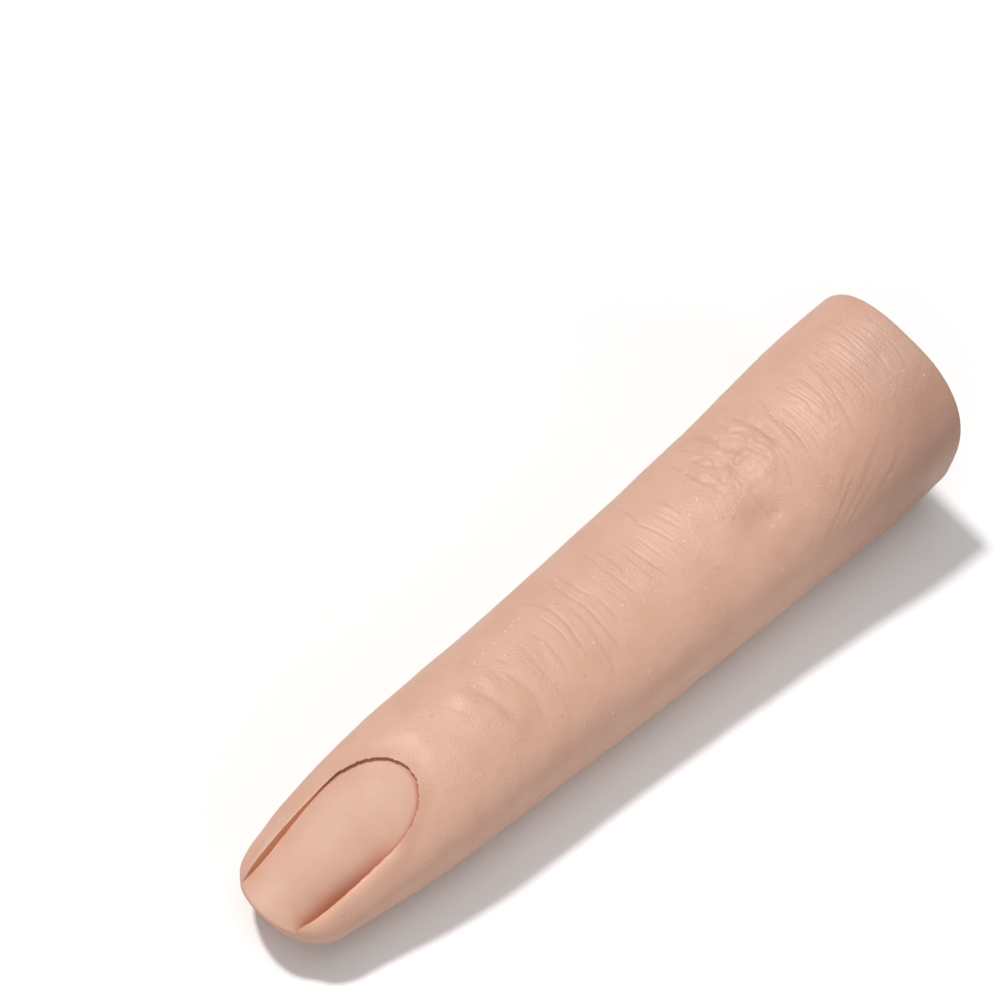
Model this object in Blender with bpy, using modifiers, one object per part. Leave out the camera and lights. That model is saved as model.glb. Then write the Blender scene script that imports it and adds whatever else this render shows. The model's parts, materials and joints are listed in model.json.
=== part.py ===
"""A nail practice finger: a soft silicone finger with a slot for press-on nails, cast round a jointed core.

The finger lies along Y, with its tip towards -Y and its nail up, and it rests on the plane Z = 0.
The skin is one casting on the real thing. Here it is cut at the knuckles, so that each length of it
moves with the bone inside it, and a wedge-shaped knuckle of softer skin fills each cut.
"""

import math

import bmesh
import bpy
from mathutils import Matrix, Vector

# The form of the finger, in metres: its three lengths run from the tip, over the two knuckles, to the cut root
DISTAL_LENGTH = 0.033
MIDDLE_LENGTH = 0.0315
PROXIMAL_LENGTH = 0.0205
ROOT_WIDTH = 0.0202
ROOT_HEIGHT = 0.019
NOSE_LENGTH = 0.005
SIDE_BOW = 0.00045
ROOT_SLANT_DEG = 3.0

# Along the finger: length share from the tip, width share, top share and sole share of the root's sizes
FORM_SHARES = (
    (0.00, 0.604, 0.370, 0.130),
    (0.06, 0.636, 0.432, 0.086),
    (0.10, 0.680, 0.482, 0.063),
    (0.16, 0.748, 0.560, 0.042),
    (0.23, 0.792, 0.632, 0.020),
    (0.30, 0.812, 0.672, 0.000),
    (0.40, 0.842, 0.686, -0.018),
    (0.50, 0.881, 0.697, -0.021),
    (0.60, 0.916, 0.737, -0.021),
    (0.70, 0.946, 0.795, -0.021),
    (0.80, 0.985, 0.858, -0.021),
    (0.90, 1.030, 0.926, -0.021),
    (1.00, 1.000, 1.000, -0.021),
)
NOSE_HEIGHT_SHARE = 0.258
SLANT_START_SHARE = 0.75
NOSE_POWER = 2.2
CROWN_POWER = 2.1
SOLE_POWER = 2.35
NOSE_ROWS = 6
BODY_ROWS = 32
FORM_COLUMNS = 36

# The nail bed and the slot round it
NAIL_LENGTH = 0.0176
NAIL_WIDTH = 0.00876
CUTICLE_ARC_LENGTH = 0.0052
NAIL_FRONT_TAPER_SHARE = 0.245
NAIL_LEVEL_SHARE = 0.5
NAIL_END_SHARE = 0.973
NAIL_SLOT_GAP = 0.0004
NAIL_RECESS = 0.0012
NAIL_FRONT_RECESS = 0.0005
NAIL_ARCH_RADIUS = 0.0065
NAIL_BED_THICKNESS = 0.0014
NAIL_BACK_WALL = 0.0012
NAIL_ROWS = 18
NAIL_COLUMNS = 10

# The two knuckles: the first is near the root, the second near the nail
PIP_FLEX_DEG = 70.0
PIP_RADIUS = 0.0034
PIP_TONGUE_THICKNESS = 0.0024
PIP_WASHER_THICKNESS = 0.0004
PIP_EAR_THICKNESS = 0.0016
PIP_PIN_RADIUS = 0.0011

DIP_FLEX_DEG = 50.0
DIP_RADIUS = 0.0028
DIP_TONGUE_THICKNESS = 0.0020
DIP_WASHER_THICKNESS = 0.0004
DIP_EAR_THICKNESS = 0.0013
DIP_PIN_RADIUS = 0.0009

PIN_HEAD_THICKNESS = 0.0007
PIN_HEAD_SHARE = 1.9
WASHER_RADIUS_SHARE = 0.85
KNUCKLE_NECK_HALF_WIDTH = 0.0014
KNUCKLE_FACETS = 32
PIN_FACETS = 24

# The bones between and beyond the knuckles
PROXIMAL_BONE_HEIGHT = 0.0060
ANCHOR_WIDTH = 0.0110
ANCHOR_HEIGHT = 0.0090
ANCHOR_THICKNESS = 0.0022
ANCHOR_INSET = 0.0040
MIDDLE_BONE_HEIGHT = 0.0048
DISTAL_BONE_WIDTH = 0.0048
DISTAL_BONE_HEIGHT = 0.0036
SPOON_WIDTH = 0.0064
SPOON_THICKNESS = 0.0014
SPOON_ROOF = 0.0009
SPOON_FRONT_FROM_TIP = 0.0080
SPOON_OVERLAP = 0.0030
BONE_EDGE_RADIUS = 0.0005

# Clearances, and how far a cutter runs past what it cuts
SKIN_GAP = 0.0003
RUNNING_GAP = 0.0002
PIN_GAP = 0.0001
OVERRUN = 0.0050
MERGE_DISTANCE = 0.00001

# Edges flatter than these angles are shaded smooth
SKIN_SMOOTH_DEG = 50.0
HARD_SMOOTH_DEG = 35.0

SKIN_COLOUR = (0.76, 0.45, 0.33)
NAIL_BED_COLOUR = (0.74, 0.42, 0.31)
BONE_COLOUR = (0.80, 0.78, 0.70)
STEEL_COLOUR = (0.60, 0.60, 0.61)
WASHER_COLOUR = (0.10, 0.10, 0.11)

FINGER_LENGTH = DISTAL_LENGTH + MIDDLE_LENGTH + PROXIMAL_LENGTH
TIP_Y = -FINGER_LENGTH / 2
ROOT_Y = FINGER_LENGTH / 2


# The shape of the finger as functions

def smooth_value(rows, column, share):
    """A value of a table of shares at any share along it, on a curve that passes smoothly through its rows."""
    last = len(rows) - 1
    i = max(k for k in range(last) if rows[k][0] <= share or k == 0)
    x0, x1 = rows[i][0], rows[i + 1][0]
    y0, y1 = rows[i][column], rows[i + 1][column]

    def slope(k):
        before, after = rows[max(k - 1, 0)], rows[min(k + 1, last)]
        return (after[column] - before[column]) / (after[0] - before[0])

    t = (share - x0) / (x1 - x0)
    width = x1 - x0
    return (
        (2 * t**3 - 3 * t**2 + 1) * y0
        + (t**3 - 2 * t**2 + t) * width * slope(i)
        + (3 * t**2 - 2 * t**3) * y1
        + (t**3 - t**2) * width * slope(i + 1)
    )


def finger_section(from_tip):
    """The side offset, half width, top and sole of the finger at a distance from its tip."""
    share = min(from_tip / FINGER_LENGTH, 1.0)
    half_width = smooth_value(FORM_SHARES, 1, share) * ROOT_WIDTH / 2
    top = smooth_value(FORM_SHARES, 2, share) * ROOT_HEIGHT
    sole = smooth_value(FORM_SHARES, 3, share) * ROOT_HEIGHT
    if from_tip < NOSE_LENGTH:
        swell = (1 - (1 - from_tip / NOSE_LENGTH) ** NOSE_POWER) ** (1 / NOSE_POWER)
        nose = NOSE_HEIGHT_SHARE * ROOT_HEIGHT
        half_width *= swell
        top = nose + (top - nose) * swell
        sole = nose + (sole - nose) * swell
    return SIDE_BOW * 4 * share * (1 - share), half_width, top, sole


def rounded(value, power):
    """A cosine or sine, changed so that a circle becomes a fuller or a squarer oval."""
    return math.copysign(abs(value) ** (2 / power), value)


def form_ring(from_tip, columns):
    """The points round the finger at a distance from its tip, with the sole flattened where it rests."""
    side, half_width, top, sole = finger_section(from_tip)
    share = from_tip / FINGER_LENGTH
    slant = max(share - SLANT_START_SHARE, 0) / (1 - SLANT_START_SHARE)
    ring = []
    for k in range(columns):
        angle = 2 * math.pi * k / columns
        power = CROWN_POWER if math.sin(angle) >= 0 else SOLE_POWER
        x = side + half_width * rounded(math.cos(angle), power)
        z = (top + sole) / 2 + (top - sole) / 2 * rounded(math.sin(angle), power)
        y = TIP_Y + from_tip - slant * x * math.tan(math.radians(ROOT_SLANT_DEG))
        ring.append(Vector((x, y, max(z, 0.0))))
    return ring


def axis_height(from_tip):
    """The middle of the finger's height, where a knuckle's axis runs."""
    _, _, top, sole = finger_section(from_tip)
    return (top + max(sole, 0.0)) / 2


def nail_half_width(from_tip):
    """Half the width of the opening round the nail bed: it tapers to the front and ends in an arc."""
    straight = NAIL_LENGTH - CUTICLE_ARC_LENGTH
    if from_tip <= straight:
        taper = NAIL_FRONT_TAPER_SHARE * (1 - max(from_tip, 0.0) / straight) ** 2
        return NAIL_WIDTH / 2 * (1 - taper)
    along = min((from_tip - straight) / CUTICLE_ARC_LENGTH, 1.0)
    return NAIL_WIDTH / 2 * math.sqrt(1 - along**2)


def nail_crest(from_tip):
    """The height of the nail bed along its middle. It stays level over the front of the nose."""
    share = min(max(from_tip, 0.0) / NAIL_LENGTH, 1.0)
    recess = NAIL_FRONT_RECESS + (NAIL_RECESS - NAIL_FRONT_RECESS) * share
    level_length = NOSE_LENGTH * NAIL_LEVEL_SHARE
    return finger_section(max(from_tip, level_length))[2] - recess


def nail_bed_depth():
    """How far the underside of the nail bed lies below its crest. Its arched sides keep a thin edge."""
    arch_drop = NAIL_ARCH_RADIUS - math.sqrt(NAIL_ARCH_RADIUS**2 - (NAIL_WIDTH / 2) ** 2)
    return max(NAIL_BED_THICKNESS, arch_drop + NAIL_SLOT_GAP)


class Knuckle:
    """The sizes of one pinned joint, worked out from its own few dimensions."""

    def __init__(self, from_tip, flex_deg, radius, tongue, washer, ear, pin_radius):
        self.y = TIP_Y + from_tip
        self.z = axis_height(from_tip)
        self.radius = radius
        self.tongue_half = tongue / 2
        self.washer = washer
        self.washer_middle = tongue / 2 + RUNNING_GAP + washer / 2
        self.slot_half = tongue / 2 + washer + 2 * RUNNING_GAP
        self.fork_half = self.slot_half + ear
        self.pin_radius = pin_radius
        self.pin_half = self.fork_half + RUNNING_GAP + PIN_HEAD_THICKNESS
        self.neck = radius + 2 * RUNNING_GAP
        self.wedge_slope = math.tan(math.radians(flex_deg) / 2)
        self.wedge_gap = SKIN_GAP / math.cos(math.radians(flex_deg) / 2)

    def wedge_half_width(self, z):
        """Half the width of the skin wedge at a height: narrow above the axis, opening towards the sole."""
        return KNUCKLE_NECK_HALF_WIDTH + max(self.z - z, 0.0) * self.wedge_slope


PIP = Knuckle(
    DISTAL_LENGTH + MIDDLE_LENGTH, PIP_FLEX_DEG, PIP_RADIUS, PIP_TONGUE_THICKNESS,
    PIP_WASHER_THICKNESS, PIP_EAR_THICKNESS, PIP_PIN_RADIUS,
)
DIP = Knuckle(
    DISTAL_LENGTH, DIP_FLEX_DEG, DIP_RADIUS, DIP_TONGUE_THICKNESS,
    DIP_WASHER_THICKNESS, DIP_EAR_THICKNESS, DIP_PIN_RADIUS,
)


# Blender helpers

def clear_scene():
    for obj in list(bpy.data.objects):
        bpy.data.objects.remove(obj, do_unlink=True)


def new_collection(name):
    collection = bpy.data.collections.new(name)
    bpy.context.scene.collection.children.link(collection)
    return collection


def new_material(name, colour, roughness, metallic=0.0):
    material = bpy.data.materials.new(name)
    material.use_nodes = True
    shader = material.node_tree.nodes["Principled BSDF"]
    shader.inputs["Base Color"].default_value = (*colour, 1.0)
    shader.inputs["Roughness"].default_value = roughness
    shader.inputs["Metallic"].default_value = metallic
    return material


def new_object(name, bm, collection, material=None):
    """Turns a bmesh into an object whose faces all point out."""
    bmesh.ops.recalc_face_normals(bm, faces=bm.faces)
    mesh = bpy.data.meshes.new(name)
    bm.to_mesh(mesh)
    bm.free()
    obj = bpy.data.objects.new(name, mesh)
    collection.objects.link(obj)
    if material:
        mesh.materials.append(material)
    return obj


def as_cutter(obj):
    obj.hide_render = True
    obj.display_type = "WIRE"
    return obj


def box_bmesh(low, high):
    """A box between two corners."""
    low, high = Vector(low), Vector(high)
    bm = bmesh.new()
    bmesh.ops.create_cube(bm, size=1.0)
    size = high - low
    bmesh.ops.scale(bm, vec=size, verts=bm.verts)
    bmesh.ops.translate(bm, vec=(low + high) / 2, verts=bm.verts)
    return bm


def cross_cylinder_bmesh(y, z, radius, half_length, facets):
    """A cylinder whose axis runs across the finger, along X."""
    bm = bmesh.new()
    bmesh.ops.create_cone(
        bm, cap_ends=True, segments=facets, radius1=radius, radius2=radius, depth=2 * half_length
    )
    bmesh.ops.rotate(bm, verts=bm.verts, cent=(0, 0, 0), matrix=Matrix.Rotation(math.pi / 2, 3, "Y"))
    bmesh.ops.translate(bm, vec=(0, y, z), verts=bm.verts)
    return bm


def side_prism_bmesh(outline, half_width):
    """A prism across the finger, from an outline of (y, z) points."""
    bm = bmesh.new()
    face = bm.faces.new([bm.verts.new((-half_width, y, z)) for y, z in outline])
    pushed = bmesh.ops.extrude_face_region(bm, geom=[face])["geom"]
    moved = [v for v in pushed if isinstance(v, bmesh.types.BMVert)]
    bmesh.ops.translate(bm, vec=(2 * half_width, 0, 0), verts=moved)
    return bm


def loft_bmesh(rings):
    """A closed skin through rings of equal count, with a flat face on each end."""
    bm = bmesh.new()
    loops = [[bm.verts.new(point) for point in ring] for ring in rings]
    for near, far in zip(loops, loops[1:]):
        for k in range(len(near)):
            after = (k + 1) % len(near)
            bm.faces.new((near[k], near[after], far[after], far[k]))
    bm.faces.new(loops[0])
    bm.faces.new(loops[-1])
    return bm


def combine(obj, other, operation):
    """A Boolean with another object, which stays in the scene as its cutter."""
    modifier = obj.modifiers.new(f"{operation.lower()} {other.name}", "BOOLEAN")
    modifier.operation = operation
    modifier.solver = "EXACT"
    modifier.object = other


def smooth_sides(obj, angle_deg=HARD_SMOOTH_DEG):
    """Shades round sides smooth and keeps sharp edges sharp."""
    obj.data.shade_smooth()
    obj.data.set_sharp_from_angle(angle=math.radians(angle_deg))


def follow(obj, empty):
    """Parents an object to a joint's empty and leaves it where it is."""
    obj.parent = empty
    obj.matrix_parent_inverse = empty.matrix_world.inverted()


# The finger's whole form and the cutters that share it out

def form_rows():
    nose = [NOSE_LENGTH * (1 - math.cos(math.pi / 2 * k / NOSE_ROWS)) for k in range(1, NOSE_ROWS)]
    step = (FINGER_LENGTH - NOSE_LENGTH) / BODY_ROWS
    return nose + [NOSE_LENGTH + step * k for k in range(BODY_ROWS + 1)]


def add_form(name, collection, material=None):
    rings = [form_ring(from_tip, FORM_COLUMNS) for from_tip in form_rows()]
    obj = new_object(name, loft_bmesh(rings), collection, material)
    smooth_sides(obj, SKIN_SMOOTH_DEG)
    return obj


def knuckle_edge(knuckle, side, gap):
    """The cut beside a knuckle as (y, z) points, from above the finger to below it. side is +1 or -1."""
    above, below = ROOT_HEIGHT + OVERRUN, -OVERRUN
    neck = KNUCKLE_NECK_HALF_WIDTH - gap * knuckle.wedge_gap
    foot = knuckle.wedge_half_width(below) - gap * knuckle.wedge_gap
    return [
        (knuckle.y + side * neck, above),
        (knuckle.y + side * neck, knuckle.z),
        (knuckle.y + side * foot, below),
    ]


def add_length_prisms(collection):
    """The prisms that pick each length of skin out of the form, and each knuckle wedge between them."""
    above, below = ROOT_HEIGHT + OVERRUN, -OVERRUN
    front, back = TIP_Y - OVERRUN, ROOT_Y + OVERRUN
    outlines = {
        "proximal": knuckle_edge(PIP, 1, 0) + [(back, below), (back, above)],
        "middle": knuckle_edge(DIP, 1, 0) + knuckle_edge(PIP, -1, 0)[::-1],
        "distal": knuckle_edge(DIP, -1, 0) + [(front, below), (front, above)],
        "pip_knuckle": knuckle_edge(PIP, 1, 1) + knuckle_edge(PIP, -1, 1)[::-1],
        "dip_knuckle": knuckle_edge(DIP, 1, 1) + knuckle_edge(DIP, -1, 1)[::-1],
    }
    prisms = {}
    for name, outline in outlines.items():
        bm = side_prism_bmesh(outline, ROOT_WIDTH)
        prisms[name] = as_cutter(new_object(f"{name}_prism", bm, collection))
    return prisms


# The bones' boxes, used both for the bones and, grown by the skin gap, for the hollow round them

def proximal_shaft(grow=0.0):
    start = PIP.y + PIP.neck
    end = ROOT_Y - ANCHOR_INSET
    half_height = PROXIMAL_BONE_HEIGHT / 2 + grow
    return (
        (-PIP.fork_half - grow, start - grow, PIP.z - half_height),
        (PIP.fork_half + grow, end + grow, PIP.z + half_height),
    )


def anchor_plate(grow=0.0):
    end = ROOT_Y - ANCHOR_INSET
    return (
        (-ANCHOR_WIDTH / 2 - grow, end - ANCHOR_THICKNESS - grow, PIP.z - ANCHOR_HEIGHT / 2 - grow),
        (ANCHOR_WIDTH / 2 + grow, end + grow, PIP.z + ANCHOR_HEIGHT / 2 + grow),
    )


def middle_shaft(grow=0.0):
    middle = (PIP.z + DIP.z) / 2
    half_height = MIDDLE_BONE_HEIGHT / 2 + grow
    return (
        (-DIP.fork_half - grow, DIP.y + DIP.neck - grow, middle - half_height),
        (DIP.fork_half + grow, PIP.y - PIP.neck + grow, middle + half_height),
    )


def distal_shaft_front():
    """How far from the tip the shaft starts: behind the nail's pocket, with a wall of skin between them."""
    return NAIL_LENGTH + NAIL_BACK_WALL + SKIN_GAP


def spoon_frame():
    """The middle of the spoon plate, its length and its slope: it lies under the nail bed."""
    front = SPOON_FRONT_FROM_TIP
    back = distal_shaft_front() + SPOON_OVERLAP
    drop = nail_bed_depth() + SKIN_GAP + SPOON_ROOF + SKIN_GAP + SPOON_THICKNESS / 2
    front_z = nail_crest(front) - drop
    back_z = DIP.z
    run = back - front
    slope = math.atan2(back_z - front_z, run)
    centre = Vector((0, TIP_Y + (front + back) / 2, (front_z + back_z) / 2))
    return centre, math.hypot(run, back_z - front_z), slope


def distal_shaft(grow=0.0):
    start = TIP_Y + distal_shaft_front()
    half_height = DISTAL_BONE_HEIGHT / 2 + grow
    return (
        (-DISTAL_BONE_WIDTH / 2 - grow, start - grow, DIP.z - half_height),
        (DISTAL_BONE_WIDTH / 2 + grow, DIP.y - DIP.neck + grow, DIP.z + half_height),
    )


def spoon_bmesh(grow=0.0):
    centre, length, slope = spoon_frame()
    half = Vector((SPOON_WIDTH / 2 + grow, length / 2 + grow, SPOON_THICKNESS / 2 + grow))
    bm = box_bmesh(-half, half)
    bmesh.ops.rotate(bm, verts=bm.verts, cent=(0, 0, 0), matrix=Matrix.Rotation(slope, 3, "X"))
    bmesh.ops.translate(bm, vec=centre, verts=bm.verts)
    return bm


def add_hollows(collection):
    """The room inside the skin for the knuckles and the bones."""
    def keep(name, bm):
        return as_cutter(new_object(name, bm, collection))

    hollows = {}
    for name, knuckle in (("pip", PIP), ("dip", DIP)):
        bm = cross_cylinder_bmesh(
            knuckle.y, knuckle.z, knuckle.radius + SKIN_GAP, knuckle.pin_half + SKIN_GAP, KNUCKLE_FACETS
        )
        hollows[name] = keep(f"{name}_hollow", bm)
    for name, box in (
        ("proximal", proximal_shaft), ("anchor", anchor_plate), ("middle", middle_shaft), ("distal", distal_shaft)
    ):
        low, high = box(SKIN_GAP)
        hollows[name] = keep(f"{name}_hollow", box_bmesh(low, high))
    hollows["spoon"] = keep("spoon_hollow", spoon_bmesh(SKIN_GAP))
    low, high = fork_web(PIP, 1, SKIN_GAP)
    hollows["pip_web"] = keep("pip_web_hollow", box_bmesh(low, high))
    low, high = fork_web(DIP, 1, SKIN_GAP)
    hollows["dip_web"] = keep("dip_web_hollow", box_bmesh(low, high))
    low, high = tongue_neck(PIP, MIDDLE_BONE_HEIGHT, SKIN_GAP)
    hollows["pip_neck"] = keep("pip_neck_hollow", box_bmesh(low, high))
    low, high = tongue_neck(DIP, DISTAL_BONE_HEIGHT, SKIN_GAP)
    hollows["dip_neck"] = keep("dip_neck_hollow", box_bmesh(low, high))
    return hollows


def fork_web(knuckle, side, grow=0.0):
    """The stretch of a fork between its axis and its shaft."""
    height = PROXIMAL_BONE_HEIGHT if knuckle is PIP else MIDDLE_BONE_HEIGHT
    reach = knuckle.neck + BONE_EDGE_RADIUS + RUNNING_GAP
    return (
        (-knuckle.fork_half - grow, knuckle.y, knuckle.z - height / 2 - grow),
        (knuckle.fork_half + grow, knuckle.y + side * reach, knuckle.z + height / 2 + grow),
    )


def tongue_neck(knuckle, height, grow=0.0):
    """The thin neck between a tongue's disc and its shaft."""
    reach = knuckle.neck + BONE_EDGE_RADIUS + RUNNING_GAP
    return (
        (-knuckle.tongue_half - grow, knuckle.y - reach, knuckle.z - height / 2 - grow),
        (knuckle.tongue_half + grow, knuckle.y, knuckle.z + height / 2 + grow),
    )


# The nail bed and its pocket

def nail_rings(grow, floor_drop, roof):
    """Sections of the nail's opening from in front of the tip to the cuticle, grown sideways by a gap."""
    rings = []
    end = NAIL_LENGTH + grow
    for row in range(NAIL_ROWS + 1):
        turn = math.pi / 2 * NAIL_END_SHARE * row / NAIL_ROWS
        along = -OVERRUN + (end + OVERRUN) * math.sin(turn)
        inner = along * NAIL_LENGTH / end if along > 0 else along
        half = nail_half_width(inner) + grow
        crest = nail_crest(along)
        ring = []
        for k in range(NAIL_COLUMNS + 1):
            x = half * (2 * k / NAIL_COLUMNS - 1)
            arch = NAIL_ARCH_RADIUS - math.sqrt(NAIL_ARCH_RADIUS**2 - x**2)
            ring.append((x, TIP_Y + along, crest - arch if roof is None else roof))
        ring.append((half, TIP_Y + along, crest - floor_drop))
        ring.append((-half, TIP_Y + along, crest - floor_drop))
        rings.append(ring)
    return rings


def add_nail_bed(collection, cutters, form, material):
    """The arched pad that a press-on nail slides over. Its front follows the fingertip."""
    depth = nail_bed_depth()
    bed = new_object("nail_bed", loft_bmesh(nail_rings(-NAIL_SLOT_GAP, depth, None)), collection, material)
    combine(bed, form, "INTERSECT")
    smooth_sides(bed, SKIN_SMOOTH_DEG)
    rings = nail_rings(0.0, depth + SKIN_GAP, ROOT_HEIGHT + OVERRUN)
    pocket = as_cutter(new_object("nail_pocket", loft_bmesh(rings), cutters))
    return bed, pocket


# The skin

def add_skins(collection, cutters, form, pocket, material, knuckle_material):
    prisms = add_length_prisms(cutters)
    hollows = add_hollows(cutters)
    wanted = {
        "proximal_skin": ("proximal", ("pip", "pip_web", "proximal", "anchor")),
        "middle_skin": ("middle", ("pip", "pip_neck", "middle", "dip_web", "dip")),
        "distal_skin": ("distal", ("dip", "dip_neck", "distal", "spoon")),
        "pip_knuckle_skin": ("pip_knuckle", ("pip", "pip_web", "pip_neck", "proximal", "middle")),
        "dip_knuckle_skin": ("dip_knuckle", ("dip", "dip_web", "dip_neck", "middle", "distal")),
    }
    skins = {}
    for name, (prism, hollow_names) in wanted.items():
        skin = add_form(name, collection, knuckle_material if "knuckle" in name else material)
        combine(skin, prisms[prism], "INTERSECT")
        for hollow in hollow_names:
            combine(skin, hollows[hollow], "DIFFERENCE")
        skins[name] = skin
    combine(skins["distal_skin"], pocket, "DIFFERENCE")
    return skins


# The bones

def add_bone(name, shaft_box, collection, cutters, material, additions, removals):
    """A bone is its shaft with softened edges, then joined by its ends and cut by its slots and holes."""
    low, high = shaft_box
    bone = new_object(name, box_bmesh(low, high), collection, material)
    bevel = bone.modifiers.new("soft edges", "BEVEL")
    bevel.width = BONE_EDGE_RADIUS
    bevel.segments = 2
    bevel.limit_method = "ANGLE"
    for part, bm in additions.items():
        combine(bone, as_cutter(new_object(f"{name}_{part}", bm, cutters)), "UNION")
    for part, bm in removals.items():
        combine(bone, as_cutter(new_object(f"{name}_{part}", bm, cutters)), "DIFFERENCE")
    smooth_sides(bone)
    return bone


def fork_ends(knuckle):
    """What a fork adds to its shaft: a web and a round end."""
    low, high = fork_web(knuckle, 1)
    disc = cross_cylinder_bmesh(knuckle.y, knuckle.z, knuckle.radius, knuckle.fork_half, KNUCKLE_FACETS)
    return {"fork_web": box_bmesh(low, high), "fork_end": disc}


def fork_cuts(knuckle):
    """What a fork loses: the slot for the tongue and the hole for the pin."""
    reach = knuckle.radius + OVERRUN
    slot = box_bmesh(
        (-knuckle.slot_half, knuckle.y - reach, knuckle.z - reach),
        (knuckle.slot_half, knuckle.y + knuckle.neck, knuckle.z + reach),
    )
    return {"fork_slot": slot, "pin_hole": pin_hole_bmesh(knuckle, knuckle.fork_half)}


def pin_hole_bmesh(knuckle, half_length):
    radius = knuckle.pin_radius + PIN_GAP
    return cross_cylinder_bmesh(knuckle.y, knuckle.z, radius, half_length + OVERRUN, PIN_FACETS)


def tongue_ends(knuckle, height):
    """What a tongue adds to its shaft: a thin neck and a thin disc."""
    low, high = tongue_neck(knuckle, height)
    disc = cross_cylinder_bmesh(knuckle.y, knuckle.z, knuckle.radius, knuckle.tongue_half, KNUCKLE_FACETS)
    return {"tongue_neck": box_bmesh(low, high), "tongue_end": disc}


def add_bones(collection, cutters, material):
    low, high = anchor_plate()
    proximal = add_bone(
        "proximal_bone", proximal_shaft(), collection, cutters, material,
        {**fork_ends(PIP), "anchor": box_bmesh(low, high)}, fork_cuts(PIP),
    )
    middle = add_bone(
        "middle_bone", middle_shaft(), collection, cutters, material,
        {**tongue_ends(PIP, MIDDLE_BONE_HEIGHT), **fork_ends(DIP)},
        {**fork_cuts(DIP), "tongue_hole": pin_hole_bmesh(PIP, PIP.fork_half)},
    )
    distal = add_bone(
        "distal_bone", distal_shaft(), collection, cutters, material,
        {**tongue_ends(DIP, DISTAL_BONE_HEIGHT), "spoon": spoon_bmesh()},
        {"tongue_hole": pin_hole_bmesh(DIP, DIP.fork_half)},
    )
    return proximal, middle, distal


# The pins, their collars and the friction washers

def turned(name, outline, closed, collection, material):
    """A turned piece from (radius, height) points, on the Z axis before it is laid across the finger."""
    bm = bmesh.new()
    points = [bm.verts.new((radius, 0, height)) for radius, height in outline]
    for near, far in zip(points, points[1:] + points[:1] if closed else points[1:]):
        bm.edges.new((near, far))
    mesh = bpy.data.meshes.new(name)
    bm.to_mesh(mesh)
    bm.free()
    obj = bpy.data.objects.new(name, mesh)
    collection.objects.link(obj)
    mesh.materials.append(material)
    screw = obj.modifiers.new("turn", "SCREW")
    screw.steps = screw.render_steps = PIN_FACETS
    screw.use_merge_vertices = True
    screw.merge_threshold = MERGE_DISTANCE
    screw.use_smooth_shade = False
    return obj


def lay_across(obj, knuckle, x=0.0):
    """Turns a piece from the Z axis onto the knuckle's axis."""
    obj.rotation_euler = (0, math.pi / 2, 0)
    obj.location = (x, knuckle.y, knuckle.z)


def add_pin(name, knuckle, collection, material):
    """A pin with a head on its right side. Its far end comes flush with the collar."""
    head = knuckle.pin_radius * PIN_HEAD_SHARE
    under_head = knuckle.fork_half + RUNNING_GAP
    outline = [
        (0, knuckle.pin_half),
        (head, knuckle.pin_half),
        (head, under_head),
        (knuckle.pin_radius, under_head),
        (knuckle.pin_radius, -knuckle.pin_half),
        (0, -knuckle.pin_half),
    ]
    pin = turned(name, outline, False, collection, material)
    lay_across(pin, knuckle)
    return pin


def ring_outline(inner, outer, thickness):
    """A ring's cross-section, down its outer side and up its bore."""
    half = thickness / 2
    return [(inner, half), (outer, half), (outer, -half), (inner, -half)]


def add_knuckle_hardware(name, knuckle, collection, steel, washer_material):
    """The pin, the collar pressed on its end, and a friction washer on each side of the tongue."""
    bore = knuckle.pin_radius + PIN_GAP
    pieces = [add_pin(f"{name}_pin", knuckle, collection, steel)]
    outline = ring_outline(bore, knuckle.pin_radius * PIN_HEAD_SHARE, PIN_HEAD_THICKNESS)
    collar = turned(f"{name}_pin_collar", outline, True, collection, steel)
    lay_across(collar, knuckle, -knuckle.pin_half + PIN_HEAD_THICKNESS / 2)
    pieces.append(collar)
    for side, word in ((-1, "left"), (1, "right")):
        outline = ring_outline(bore, knuckle.radius * WASHER_RADIUS_SHARE, knuckle.washer)
        washer = turned(f"{name}_washer_{word}", outline, True, collection, washer_material)
        lay_across(washer, knuckle, side * knuckle.washer_middle)
        pieces.append(washer)
    return pieces


def add_joint_empty(name, knuckle, collection, parent=None):
    """An empty on a knuckle's axis, for whatever turns about it."""
    empty = bpy.data.objects.new(name, None)
    empty.location = (0, knuckle.y, knuckle.z)
    empty.empty_display_size = knuckle.radius
    collection.objects.link(empty)
    bpy.context.view_layer.update()
    if parent:
        follow(empty, parent)
        bpy.context.view_layer.update()
    return empty


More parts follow.
